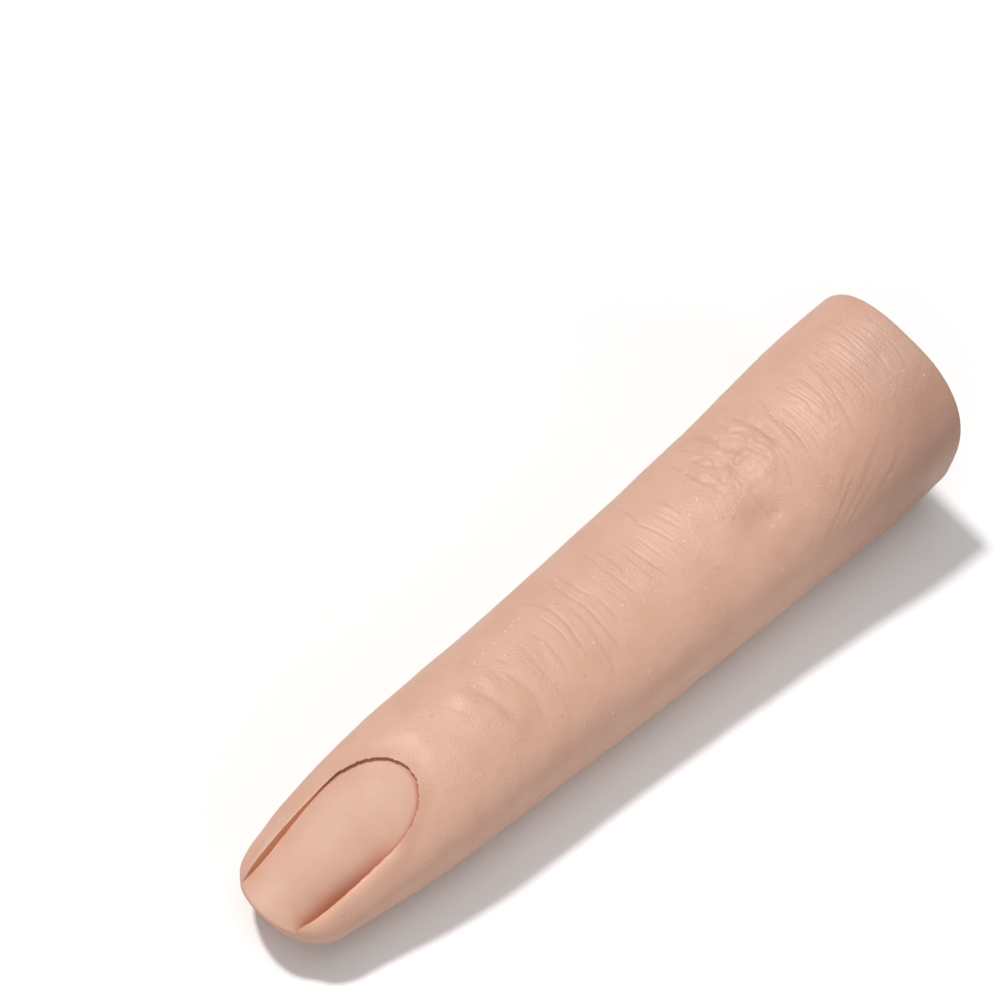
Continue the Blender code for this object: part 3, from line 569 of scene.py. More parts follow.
def relief(points, from_tip, round_way):
    """Height over the plain form, and painted shade and highlight from -1, darkest, to 1, lightest."""
    x, y, z = np.moveaxis(points, -1, 0)
    height = unevenness(y, round_way)
    painted_shade_and_highlight = np.zeros(y.shape)
    for strength, half_width, path in CREASES + SIDE_CREASES + FINE_LINES:
        change, deep = crease(round_way, y, path, strength, half_width)
        height += change
        painted_shade_and_highlight -= CREASE_PAINTED_SHADE * deep
    for along, way, half_length, half_breadth, rise in MOUNDS:
        swell = rise * hill(y, along, half_length) * hill(round_way, way, half_breadth)
        height += swell
        painted_shade_and_highlight += HOLLOW_PAINTED_SHADE * np.minimum(swell, 0)
    for along, way, radius, rise in SPECKS:
        spot = hill(y, along, radius) * hill(round_way, way, radius)
        height += rise * spot
        painted_shade_and_highlight += np.sign(rise) * SPECK_PAINTED_LIGHT * spot
    height *= NEAR_NAIL_SHARE + (1 - NEAR_NAIL_SHARE) * ramp(from_tip, *NEAR_NAIL_END)
    top, sole = section_sizes(from_tip)[2:]
    above = ramp(z - (top + sole) / 2, *FOLD_FOOT)
    return height + above * nail_fold(x, from_tip), np.clip(painted_shade_and_highlight, -1, 1)


# %% [markdown]
# ## Rolling the skin
# A flat grid is the easiest start for a tube: its columns run round the finger and its rows along it. Each
# corner is moved onto the oval it belongs to and lifted by the relief. The ends run in to a point, so the
# shell is closed, and the two edges that meet under the finger are merged. The skin is one casting, but it
# bends at two knuckles. It is modelled in two lengths that meet, unseen, in a fine line of the middle of
# the finger, one for each knuckle.

# %% Rows of ovals, as distances from the tip and the share of full size
NOSE_ROWS = 34
NAIL_ROWS = 86
NAIL_ROWS_END = 24.0
MIDDLE_ROWS = 256
ROOT_ROWS = 390
EDGE_ROWS = 6
EDGE_RADIUS = 0.3
EDGE_INSET = 0.03
SPLIT_FROM_TIP = 49.55
FACE_SHRINKS = (0.97, 0.8, 0.5, 0.2, 0.0)


def spread(start, end, count):
    """Evenly spaced distances from the tip, without the last one."""
    return list(np.linspace(start, end, count, endpoint=False))


def nose_distances(count):
    """Distances from the tip that are close together at the very front, where the nose turns down."""
    angles = np.linspace(0, math.pi / 2, count, endpoint=False)
    return list(NOSE_LENGTH * (1 - np.cos(angles) ** (2 / NOSE_POWER)))


def full_rows(distances):
    """Rows of full size."""
    return [(distance, 1.0) for distance in distances]


def split_cap(shrinks):
    """Rows that close a length of skin at the line where the two lengths meet."""
    return [(SPLIT_FROM_TIP, shrink) for shrink in shrinks]


tip_rows = full_rows(nose_distances(NOSE_ROWS))
tip_rows += full_rows(spread(NOSE_LENGTH, NAIL_ROWS_END, NAIL_ROWS))
tip_rows += full_rows(spread(NAIL_ROWS_END, SPLIT_FROM_TIP, MIDDLE_ROWS))
tip_rows += split_cap((1.0,) + FACE_SHRINKS)
root_rows = split_cap(FACE_SHRINKS[::-1] + (1.0,))
root_rows += full_rows(spread(SPLIT_FROM_TIP, FINGER_LENGTH - EDGE_RADIUS, ROOT_ROWS)[1:])
root_rows += [(FINGER_LENGTH - EDGE_RADIUS + EDGE_RADIUS * math.sin(a), 1 - EDGE_INSET * (1 - math.cos(a)))
              for a in np.linspace(0, math.pi / 2, EDGE_ROWS)]
root_rows += [(FINGER_LENGTH, (1 - EDGE_INSET) * shrink) for shrink in FACE_SHRINKS]
print(len(tip_rows), "and", len(root_rows), "rows")


# %% Mesh helpers
MERGE_REACH = 1e-6


def add_grid(name, columns, rows):
    """A flat grid of one unit square, to be rolled into shape."""
    bpy.ops.object.select_all(action="DESELECT")
    bpy.ops.mesh.primitive_grid_add(x_subdivisions=columns, y_subdivisions=rows, size=1.0)
    grid = bpy.context.object
    grid.name = name
    grid.data.name = name
    return grid


def corners(obj):
    """The places of an object's corners, as an array."""
    flat = np.empty(len(obj.data.vertices) * 3)
    obj.data.vertices.foreach_get("co", flat)
    return flat.reshape(-1, 3)


def move_corners(obj, points):
    """Put an object's corners at points given in millimetres."""
    obj.data.vertices.foreach_set("co", (points * MILLIMETRE).ravel())


def mark_corners(obj, name, values):
    """Keep a number for every corner, for the materials."""
    mark = obj.data.attributes.new(name, "FLOAT", "POINT")
    mark.data.foreach_set("value", np.asarray(values, np.float32))


def merge_corners():
    """Merge the corners of the active object that lie in one place."""
    bpy.ops.object.mode_set(mode="EDIT")
    bpy.ops.mesh.select_all(action="SELECT")
    bpy.ops.mesh.remove_doubles(threshold=MERGE_REACH)
    bpy.ops.object.mode_set(mode="OBJECT")


def face_outwards():
    """Turn all faces of the active object outwards."""
    bpy.ops.object.mode_set(mode="EDIT")
    bpy.ops.mesh.select_all(action="SELECT")
    bpy.ops.mesh.normals_make_consistent(inside=False)
    bpy.ops.object.mode_set(mode="OBJECT")


# %% Roll a grid into a length of skin
COLUMNS = 236
CROWN_BIAS = 0.38
SOLE_SEAM = 0.3


def column_turns():
    """Angles of the columns, closer together over the crown than underneath."""
    even = np.linspace(-math.pi, math.pi, COLUMNS + 1)
    return even - CROWN_BIAS * np.sin(even)


def skin_points(from_tip, shrink):
    """Points and painted shade and highlight: a row for each distance from the tip, a column for each turn."""
    turn = column_turns()[None, :]
    whole = form_points(from_tip, turn)
    gaps = np.linalg.norm(np.diff(whole, axis=1), axis=-1)
    round_way = np.concatenate([np.zeros((len(from_tip), 1)), np.cumsum(gaps, axis=1)], axis=1)
    round_way -= round_way[:, [COLUMNS // 2]]
    height, painted_shade_and_highlight = relief(whole, from_tip + np.zeros(turn.shape), round_way)
    height *= smooth_step((np.pi - np.abs(turn)) / SOLE_SEAM)
    points = form_points(from_tip, turn, shrink) + form_normals(from_tip, turn) * (height * shrink)[..., None]
    points[..., 2] = np.maximum(points[..., 2], 0.0)
    return points, painted_shade_and_highlight


def roll_skin(name, rows):
    """A closed length of skin rolled from a flat grid."""
    skin = add_grid(name, COLUMNS, len(rows) - 1)
    flat = corners(skin)
    column = np.rint((flat[:, 0] + 0.5) * COLUMNS).astype(int)
    row = np.rint((flat[:, 1] + 0.5) * (len(rows) - 1)).astype(int)
    from_tip, shrink = np.array(rows).T[:, :, None]
    points, painted_shade_and_highlight = skin_points(from_tip, shrink)
    move_corners(skin, points[row, column])
    # Every corner keeps its painted shade and highlight, for the materials.
    mark_corners(skin, "painted_shade_and_highlight", painted_shade_and_highlight[row, column])
    merge_corners()
    face_outwards()
    print(name, len(skin.data.vertices), "corners")
    return skin


tip_skin = roll_skin("tip_skin", tip_rows)
root_skin = roll_skin("root_skin", root_rows)

# %% [markdown]
# ## The nail bed
# The bed is a smooth arched pad. Its arch is tight at the front and flatter at the cuticle. At the very
# front it ends in a small rounded ledge over the fingertip. A grid is laid over it and given a thickness.

# %% Height of the nail bed
BED_RECESS = ((0.0, 0.45), (8.0, 0.62), (17.6, 1.00))
LEFT_ARCH = ((0.0, 6.4), (6.0, 8.6), (10.0, 10.0), (17.6, 12.0))
RIGHT_ARCH = ((0.0, 7.4), (1.5, 6.6), (3.5, 5.4), (6.0, 5.2), (10.0, 7.5), (17.6, 12.0))
REAR_RECESS = 0.40
REAR_ARCH = (6.0, 12.0)
FRONT_DROP = 0.42
FRONT_REACH = 5.5


def form_height(x, from_tip):
    """The height of the plain form over a place in plan."""
    side, half_width, top, sole = section_sizes(from_tip)
    across = np.clip(np.abs((x - side) / np.maximum(half_width, 1e-6)), 0, 1)
    return (top + sole) / 2 + (top - sole) / 2 * (1 - across**CROWN_POWER) ** (1 / CROWN_POWER)


def bed_crest(from_tip):
    """The height of the bed's middle line: just under the finger's top, and lower still at the front."""
    tops = [(row[0], row[2]) for row in FORM_SHARES]
    top = through(tops, np.clip(from_tip / FINGER_LENGTH, 0, 1)) * ROOT_HEIGHT
    return top - through(BED_RECESS, from_tip) - FRONT_DROP * ramp(from_tip, FRONT_REACH, 0)


def arched_height(x, from_tip):
    """The height of the bed's arch, which takes the finger's own curve towards the cuticle."""
    radius = np.where(x < 0, through(LEFT_ARCH, from_tip), through(RIGHT_ARCH, from_tip))
    arch = bed_crest(from_tip) - (radius - np.sqrt(radius**2 - x**2))
    rear = ramp(from_tip, *REAR_ARCH)
    return arch * (1 - rear) + (form_height(x, np.maximum(from_tip, 0)) - REAR_RECESS) * rear


def front_line(x):
    """How far behind the tip the fingertip's outline lies, across the finger."""
    across = np.abs(x) / (FORM_SHARES[0][1] * ROOT_WIDTH / 2)
    return NOSE_LENGTH * (1 - (1 - across**NOSE_POWER) ** (1 / NOSE_POWER))


# %% Outline of the nail bed
BED_UNDER_LIP = 0.6
UNDER_LIP_END = (STRAIGHT - 4, STRAIGHT)
RIGHT_UNDER = 0.40
RIGHT_UNDER_SHARE = 0.35
FOOT_OVERLAP = 0.15
LEFT_LEAN = (
    (0.0, 0.12), (1.2, 0.22), (2.4, 0.44), (4.0, 0.50), (6.0, 0.46), (8.0, 0.36), (10.0, 0.20), (12.2, -0.1),
)


def left_lean(from_tip):
    """How far the foot of the -X wall lies inside its top edge."""
    return through(LEFT_LEAN, np.clip(from_tip, 0, STRAIGHT))


def bed_half(from_tip, left):
    """Half the bed's breadth: up to the wall's foot on the -X side, and under the skin on the +X side."""
    inner = from_tip * NAIL_LENGTH / (NAIL_LENGTH + BED_UNDER_LIP)
    under = BED_UNDER_LIP * ramp(from_tip, *UNDER_LIP_END)
    wall = left_lean(from_tip) - FOOT_OVERLAP
    beyond = np.where(left, under - wall, RIGHT_UNDER + RIGHT_UNDER_SHARE * under)
    return np.maximum(opening_half(inner, left) + beyond, 0)


# %% Points over the nail bed
BED_FOOT = NOSE_HEIGHT - 0.3
LEDGE = 0.55
LEDGE_SETBACK = 0.75
LEDGE_FADE = 5.0
RIM = 0.30
FACE_SHARE = 0.03
RIM_SHARE = 0.10
BED_SPECKS = ((-2.4, 15.1), (-1.7, 14.4), (-2.1, 15.9), (1.2, 11.6), (0.4, 9.5))
BED_SPECK_HEIGHT = 0.03
BED_SPECK_RADIUS = 0.12


def rim_line(x):
    """The bed's front edge: a ledge that stands out a little in the middle of the fingertip."""
    return LEDGE_SETBACK * front_line(x) - LEDGE * (1 - (x / LEFT_SIDE[0][1]) ** 2)


def bed_points(across, share):
    """Points over the bed: across from -1 to 1, and share from 0 at the front's foot to 1 at the cuticle."""
    face = np.clip(share / FACE_SHARE, 0, 1)
    angle = np.clip((share - FACE_SHARE) / (RIM_SHARE - FACE_SHARE), 0, 1) * math.pi / 2
    back = np.clip((share - RIM_SHARE) / (1 - RIM_SHARE), 0, 1) * math.pi / 2
    behind = RIM * (1 - np.cos(angle)) + (NAIL_LENGTH + BED_UNDER_LIP - RIM) * np.sin(back)
    x = across * bed_half(behind, across < 0)
    rim = rim_line(x) * ramp(behind, LEDGE_FADE, 0)
    from_tip = behind + rim + (front_line(x) - rim) * (1 - face)
    top = arched_height(x, behind + rim) - RIM * (1 - np.sin(angle))
    z = BED_FOOT + (top - BED_FOOT) * face
    for speck_x, speck_y in BED_SPECKS:
        z += BED_SPECK_HEIGHT * hill(x, speck_x, BED_SPECK_RADIUS) * hill(from_tip, speck_y, BED_SPECK_RADIUS)
    return np.stack([x, TIP_Y + from_tip, z], axis=-1)


# %% Build the nail bed
BED_COLUMNS = 96
BED_ROWS = 200
BED_THICKNESS = 1.1


def build_nail_bed():
    """A grid laid over the bed's height and given a thickness."""
    bed = add_grid("nail_bed_pad", BED_COLUMNS, BED_ROWS)
    flat = corners(bed)
    move_corners(bed, bed_points(2 * flat[:, 0], flat[:, 1] + 0.5))
    merge_corners()
    shell = bed.modifiers.new("thickness", "SOLIDIFY")
    shell.thickness = BED_THICKNESS * MILLIMETRE
    shell.offset = -1.0
    bpy.ops.object.modifier_apply(modifier=shell.name)
    face_outwards()
    return bed


nail_bed = build_nail_bed()
print("nail bed", [round(side / MILLIMETRE, 2) for side in nail_bed.dimensions])

# %% [markdown]
# ## Cutting the opening
# The real opening is trimmed with a knife, so its rim at the cuticle is ragged and overhangs the bed a
# little. A block with the opening's outline is built by extruding its outline up, ring by ring, and then
# cut away from the skin. Each ring of the block has its own outline: at the cuticle the lower rings are
# wider, which undercuts the lip, and on the -X side they are narrower, which leaves a sloping wall.

# %% The edge that the knife leaves: pace, layer and size of its noise
STEPS = (1.1, 4.0, 0.06)
TEETH = (3.6, 9.0, 0.10)


def ragged(x, from_tip):
    """The knife's small steps and teeth along the outline."""
    edge = np.zeros(x.shape)
    for pace, layer, size in (STEPS, TEETH):
        places = zip(x * pace, from_tip * pace)
        edge += size * np.array([noise.noise(Vector((a, b, layer))) for a, b in places])
    return edge


# %% Rings of the cutting block
CUT_CUTICLE = (STRAIGHT - 1.5, STRAIGHT + 1.5)
RIGHT_SHARP = (STRAIGHT, STRAIGHT + 2.0)
RIGHT_SPREAD = 0.30
RIGHT_SPREAD_END = 3.0
UNDERCUT = 0.45
UNDERCUT_AT_LIP = 0.12
LIP_THICKNESS = 0.25
LIP_MARGIN = 0.12
LIP_SAMPLE = 1.02
LIP_FRONT = 0.6
OVER_LIP = 0.3
POCKET_DROP = 1.5
POCKET_FLOOR = NOSE_HEIGHT + 0.1
FOOT_DROP = 0.1
RING_GAP = 0.02


def skin_height(x, from_tip):
    """The height of the skin's surface over a place in plan, with its fold."""
    return form_height(x, np.maximum(from_tip, LIP_FRONT)) + nail_fold(x, from_tip)


def block_rings(x, from_tip):
    """How far each ring of the block lies outside the opening's outline, and at what height."""
    cuticle = ramp(from_tip, *CUT_CUTICLE)
    edge = ragged(x, from_tip) * cuticle * np.where(x < 0, 1.0, ramp(from_tip, *RIGHT_SHARP))
    right_lean = -RIGHT_SPREAD * ramp(from_tip, 0, RIGHT_SPREAD_END)
    lower = UNDERCUT * cuticle - np.where(x < 0, left_lean(from_tip), right_lean) * (1 - cuticle)
    bed = arched_height(x, np.maximum(from_tip, 0.0))
    floor_height = np.maximum(bed - POCKET_DROP, POCKET_FLOOR)
    foot = np.maximum(bed - FOOT_DROP, floor_height + RING_GAP)
    lip = skin_height(x * LIP_SAMPLE, from_tip)
    under_lip = np.maximum(lip - LIP_THICKNESS * cuticle - LIP_MARGIN, foot + RING_GAP)
    lip = np.maximum(lip, under_lip)
    return ((lower, floor_height), (lower, foot), (edge + UNDERCUT_AT_LIP * lower, under_lip), (edge, lip),
            (edge, lip + OVER_LIP), (edge, np.full(x.shape, ROOT_HEIGHT)))


# %% Build the cutting block
OUTLINE_POINTS = 900


def build_opening_block():
    """The block that cuts the opening for the nail, extruded ring by ring from a circle."""
    x, from_tip = opening_outline(OUTLINE_POINTS)
    step_x, step_y = np.gradient(x), np.gradient(from_tip)
    length = np.hypot(step_x, step_y)
    rings = block_rings(x, from_tip)
    bpy.ops.object.select_all(action="DESELECT")
    bpy.ops.mesh.primitive_circle_add(vertices=OUTLINE_POINTS, radius=1.0, fill_type="NGON")
    block = bpy.context.object
    block.name = "opening_block"
    bpy.ops.object.mode_set(mode="EDIT")
    bpy.ops.mesh.select_all(action="SELECT")
    for _ in rings[1:]:
        bpy.ops.mesh.extrude_region_move(TRANSFORM_OT_translate={"value": (0, 0, 1.0)})
    bpy.ops.object.mode_set(mode="OBJECT")
    flat = corners(block)
    level = np.rint(flat[:, 2]).astype(int)
    angle = np.arctan2(flat[:, 1], flat[:, 0])
    place = np.rint(angle / (2 * math.pi) * OUTLINE_POINTS).astype(int) % OUTLINE_POINTS
    outward = np.array([ring[0] for ring in rings])[level, place]
    height = np.array([ring[1] for ring in rings])[level, place]
    block_x = x[place] - step_y[place] / length[place] * outward
    block_y = from_tip[place] + step_x[place] / length[place] * outward
    move_corners(block, np.stack([block_x, TIP_Y + block_y, height], axis=-1))
    face_outwards()
    return block


# %% Cut the opening
opening_block = build_opening_block()
bpy.ops.object.select_all(action="DESELECT")
bpy.context.view_layer.objects.active = tip_skin
cut = tip_skin.modifiers.new("opening", "BOOLEAN")
cut.operation = "DIFFERENCE"
cut.solver = "EXACT"
cut.object = opening_block
bpy.ops.object.modifier_apply(modifier=cut.name)
bpy.data.objects.remove(opening_block)
print("tip skin after the cut", len(tip_skin.data.vertices), "corners")

# %% [markdown]
# ## Painted warm shade in the slot
# Silicone lets a little light through, so the light that comes out of a narrow slot is orange. It is painted:
# each corner keeps a share from 0 to 1, down the walls of the slot and beside the +X fold, and the materials
# turn it into a deeper, warmer colour. On the bed the same share is painted shade, along the +X fold and
# under the cuticle's lip.

# %% Mark the painted warm shade on the skin and the painted shade on the bed
SLOT_START = 0.04
SLOT_DEPTH = 0.12
WALL_REACH = 0.12
WALL_FRONT = 1.5
FOLD_SHADE = 1.15
FOLD_SHADE_REAR = (STRAIGHT + 1.5, STRAIGHT - 2.5)
FOLD_SHADE_FRONT = (0.6, 2.2)
FOLD_GLOW = 0.5
FOLD_GLOW_REACH = 0.4
LIP_SHADE = 0.25
LIP_SHADE_FRONT = (STRAIGHT - 5, STRAIGHT - 1)
LIP_SHARE = 0.5
LIP_SHARE_RIGHT = 0.45


def fold_share(x, from_tip):
    """1 beside the +X fold, fading at both its ends."""
    return ramp(from_tip, *FOLD_SHADE_REAR) * ramp(x, 0, 1) * ramp(from_tip, *FOLD_SHADE_FRONT)


def painted_warm_shade_of_skin(points):
    """Painted warm shade: 0 on the open skin, up to 1 down the walls of the slot, and some beside the +X fold."""
    x, from_tip, z = points[:, 0], points[:, 1] - TIP_Y, points[:, 2]
    below = np.clip((skin_height(x, from_tip) - z - SLOT_START) / SLOT_DEPTH, 0, 1)
    away = distance_outside(x, from_tip)
    wall = np.where((away < WALL_REACH) & (from_tip > WALL_FRONT) & (z > NOSE_HEIGHT), below, 0.0)
    upper = ramp(z, NOSE_HEIGHT, NOSE_HEIGHT + 1) * (away > 0)
    return np.maximum(wall, FOLD_GLOW * upper * fold_share(x, from_tip) * hill(away, 0, FOLD_GLOW_REACH))


def painted_shade_of_bed(points):
    """Painted shade up to 1 at the bed's edge: broad along the +X fold, narrow under the cuticle."""
    x, from_tip = points[:, 0], points[:, 1] - TIP_Y
    near = distance_to_opening(x, from_tip)
    broad = fold_share(x, from_tip) * hill(near, 0, FOLD_SHADE)
    lip_share = LIP_SHARE + LIP_SHARE_RIGHT * ramp(x, 0, 2)
    narrow = lip_share * hill(near, 0, LIP_SHADE) * ramp(from_tip, *LIP_SHADE_FRONT)
    return np.maximum(broad, narrow)


# Painted warm shade on the tip's skin, and none on the root's skin.
mark_corners(tip_skin, "slot", painted_warm_shade_of_skin(corners(tip_skin) / MILLIMETRE))
mark_corners(root_skin, "slot", np.zeros(len(root_skin.data.vertices)))
# Painted shade on the bed's edge.
mark_corners(nail_bed, "slot", painted_shade_of_bed(corners(nail_bed) / MILLIMETRE))
print("slot marked on", tip_skin.name, "and", nail_bed.name)

# %% Smooth the skins and keep each point's place on them
CRISP_ANGLE = math.radians(58)


def finish_skin(skin):
    """Smooth shading with a crisp lip, and each corner's place at rest in millimetres, for the patterns."""
    bpy.ops.object.select_all(action="DESELECT")
    skin.select_set(True)
    bpy.context.view_layer.objects.active = skin
    bpy.ops.object.shade_smooth_by_angle(angle=CRISP_ANGLE)
    mark = skin.data.attributes.new("place", "FLOAT_VECTOR", "POINT")
    mark.data.foreach_set("vector", (corners(skin) / MILLIMETRE).astype(np.float32).ravel())
    skin.data.calc_loop_triangles()
    print(skin.name, len(skin.data.loop_triangles), "triangles")


for skin in (tip_skin, root_skin, nail_bed):
    finish_skin(skin)

# %% [markdown]
# ## Fixing the pieces in place
# The two lengths of skin are fixed where they lie, and the bed rides on the end bone. Points on the middle
# lines of the two knuckles are worked out for both ends of each bend, but nothing uses them. The frame's own
# skins and nail bed are hidden.

# %% Fix the skins in place, tie the bed to the end bone and hide the frame's skins
DIP_REACH = 6.0
PIP_REACH = 9.0
DIP_BEND = (DIP_Y - DIP_REACH, DIP_Y + DIP_REACH)
PIP_BEND = (PIP_Y - PIP_REACH, PIP_Y + PIP_REACH)


def on_axis(y, joint):
    """A point on the middle line of a joint, at a place along the finger."""
    return (0, y * MILLIMETRE, joints[joint]["pos_m"][2])


on_axis(DIP_BEND[0], "dip_flexion")
on_axis(DIP_BEND[1], "dip_flexion")
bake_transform(tip_skin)
on_axis(PIP_BEND[0], "pip_flexion")
on_axis(PIP_BEND[1], "pip_flexion")
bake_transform(root_skin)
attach(nail_bed, "distal")
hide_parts("distal_skin", "dip_knuckle_skin", "middle_skin")
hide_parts("pip_knuckle_skin", "proximal_skin")
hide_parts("nail_bed")

# %% [markdown]
# ## Writing shaders as sums
# A material is a sum of patterns. Wiring nodes one by one hides that sum, so one small class lets a socket
# be added and multiplied like a number, and one method adds any other node.

# %% Shader helpers
class Value:
    """A number that varies over a surface. Sums and products of it add Math nodes."""

    def __init__(self, paint, socket):
        self.paint = paint
        self.socket = socket

    def math(self, operation, first, second):
        return self.paint.node("ShaderNodeMath", {"operation": operation}, {0: first, 1: second})

    def __add__(self, other):
        return self.math("ADD", self, other)

    def __mul__(self, other):
        return self.math("MULTIPLY", self, other)

    __radd__ = __add__
    __rmul__ = __mul__

    def over(self, low, high):
        """0 below low and 1 above high, with a soft step between."""
        inputs = {"Value": self, "From Min": low, "From Max": high}
        return self.paint.node("ShaderNodeMapRange", {"interpolation_type": "SMOOTHSTEP"}, inputs)

    def between(self, low, high):
        """A number from 0 to 1 turned into one from low to high."""
        return low + (high - low) * self


class Paint:
    """The node tree of a material or of the world."""

    def __init__(self, owner):
        owner.use_nodes = True
        self.owner = owner
        self.tree = owner.node_tree
        self.surface = next(n for n in self.tree.nodes if n.type in ("BSDF_PRINCIPLED", "BACKGROUND"))

    def feed(self, socket, value):
        if isinstance(value, Value):
            self.tree.links.new(value.socket, socket)
        else:
            socket.default_value = value

    def node(self, kind, settings=None, inputs=None, output=0):
        """A node of any kind: its settings first, then its sockets' values or links."""
        made = self.tree.nodes.new(kind)
        for key, value in (settings or {}).items():
            setattr(made, key, value)
        for key, value in (inputs or {}).items():
            self.feed(made.inputs[key], value)
        return Value(self, made.outputs[output])

    def finish(self, **inputs):
        for key, value in inputs.items():
            self.feed(self.surface.inputs[key.replace("_", " ")], value)
        return self.owner

    def attribute(self, name, output="Fac"):
        return self.node("ShaderNodeAttribute", {"attribute_name": name}, output=output)

    def noise(self, place, scale, detail=2.0):
        """A pattern from 0 to 1, with as many hills to the unit of place as scale says."""
        return self.node("ShaderNodeTexNoise", {}, {"Vector": place, "Scale": scale, "Detail": detail}, "Fac")

    def mix(self, share, first, second):
        """A colour between two colours."""
        return self.node("ShaderNodeMix", {"data_type": "RGBA"}, {0: share, 6: first, 7: second}, 2)

    def bump(self, height, distance):
        return self.node("ShaderNodeBump", {}, {"Height": height, "Distance": distance})

    def object_place(self):
        return self.node("ShaderNodeTexCoord", output="Object")


def new_paint(name):
    return Paint(bpy.data.materials.new(name))


# %% [markdown]
# ## Silicone skin
# Platinum silicone is tinted in the mass, so its colour hardly varies. Slightly warmer and paler clouds keep
# it from looking like plastic. Painted shade darkens the creases, hollows, pinholes and the root end with
# its +X side, a painted highlight makes the pimples paler, and painted warm shade fills the slot. The finest
# grain is too small to model, so a bump pattern stands for it.

# %% Colours of the silicone
SKIN = (0.70, 0.41, 0.30, 1.0)
SKIN_WARM = (0.67, 0.38, 0.27, 1.0)
# Painted shade for creases, hollows and pinholes, and a painted highlight for pimples.
SKIN_PAINTED_SHADE = (0.50, 0.25, 0.17, 1.0)
SKIN_PAINTED_HIGHLIGHT = (0.92, 0.72, 0.62, 1.0)
# Painted shade towards the root end and its +X side.
SKIN_ROOT_PAINTED_SHADE = (0.45, 0.25, 0.18, 1.0)
# Painted warm shade for the slot: the orange light that the silicone lets into it.
SLOT_PAINTED_WARM_SHADE = (0.72, 0.28, 0.14, 1.0)
BED = (0.665, 0.393, 0.289, 1.0)
BED_WARM = (0.635, 0.36, 0.255, 1.0)
# Painted shade for the bed's edge along the +X fold and under the cuticle's lip.
BED_SHADE = (0.52, 0.19, 0.11, 1.0)

# %% Silicone materials
CLOUDS = (0.35, 0.7)
PATCHES = (0.45, 0.62)
LEAST_GRAIN = 0.25
ROOT_SHADE = (28.0, 50.0)
ROOT_SHADE_SLANT = 1.2
PAINTED_SHADE_SHARE = 0.6
PAINTED_HIGHLIGHT_SHARE = 0.8
PAINTED_HIGHLIGHT_TONES = (0.2, 1.0)


def skin_material():
    paint = new_paint("skin silicone")
    place = paint.attribute("place", "Vector")
    painted_shade_and_highlight = paint.attribute("painted_shade_and_highlight")
    colour = paint.mix(paint.noise(place, scale=0.25, detail=3.0).over(*CLOUDS), SKIN, SKIN_WARM)
    # Painted shade: darker towards the root end and its +X side.
    across = paint.node("ShaderNodeSeparateXYZ", {}, {0: place}, 0)
    along = paint.node("ShaderNodeSeparateXYZ", {}, {0: place}, 1)
    colour = paint.mix((along + ROOT_SHADE_SLANT * across).over(*ROOT_SHADE), colour, SKIN_ROOT_PAINTED_SHADE)
    # Painted shade in creases, hollows and pinholes.
    colour = paint.mix(-PAINTED_SHADE_SHARE * painted_shade_and_highlight, colour, SKIN_PAINTED_SHADE)
    # Painted highlight on the pimples.
    colour = paint.mix(PAINTED_HIGHLIGHT_SHARE * painted_shade_and_highlight.over(*PAINTED_HIGHLIGHT_TONES), colour, SKIN_PAINTED_HIGHLIGHT)
    # Painted warm shade down the slot's walls and beside the +X fold.
    colour = paint.mix(paint.attribute("slot"), colour, SLOT_PAINTED_WARM_SHADE)
    patches = paint.noise(place, scale=0.30, detail=1.0).over(*PATCHES)
    grain = paint.noise(place, scale=4.0, detail=3.0) * patches.between(LEAST_GRAIN, 1.0)
    rough = paint.noise(place, scale=1.2).between(0.42, 0.52)
    return paint.finish(Base_Color=colour, Roughness=rough, Normal=paint.bump(grain, distance=0.00009))


def bed_material():
    paint = new_paint("nail bed silicone")
    place = paint.attribute("place", "Vector")
    colour = paint.mix(paint.noise(place, scale=0.3).over(*CLOUDS), BED, BED_WARM)
    # Painted shade along the +X fold and under the cuticle's lip.
    colour = paint.mix(paint.attribute("slot"), colour, BED_SHADE)
    grain = paint.noise(place, scale=7.0, detail=3.0)
    rough = paint.noise(place, scale=1.0).between(0.50, 0.58)
    return paint.finish(Base_Color=colour, Roughness=rough, Normal=paint.bump(grain, distance=0.00002))


def give(obj, material):
    """The object's only material."""
    obj.data.materials.clear()
    obj.data.materials.append(material)


skin_paint = skin_material()
give(tip_skin, skin_paint)
give(root_skin, skin_paint)
give(nail_bed, bed_material())

# %% [markdown]
# ## The core's finishes
# The bones are moulded plastic with a fine matt grain, the pins are drawn steel, brushed round their
# length, and the washers are dark rubber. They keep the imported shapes. Only their materials are made richer
# here.

# %% Materials of the core
BONE = (0.80, 0.78, 0.70, 1.0)
BONE_YELLOWED = (0.74, 0.71, 0.62, 1.0)
STEEL = (0.56, 0.56, 0.57, 1.0)
STEEL_BRIGHT = (0.66, 0.66, 0.66, 1.0)
RUBBER = (0.08, 0.08, 0.085, 1.0)
RUBBER_GREY = (0.12, 0.12, 0.125, 1.0)
BRUSH_STRETCH = (9000.0, 700.0, 700.0)


def bone_material():
    paint = new_paint("bone plastic")
    place = paint.object_place()
    colour = paint.mix(paint.noise(place, scale=260.0).over(*CLOUDS), BONE, BONE_YELLOWED)
    grain = paint.noise(place, scale=4200.0)
    rough = grain.between(0.55, 0.65)
    return paint.finish(Base_Color=colour, Roughness=rough, Normal=paint.bump(grain, distance=0.00002))


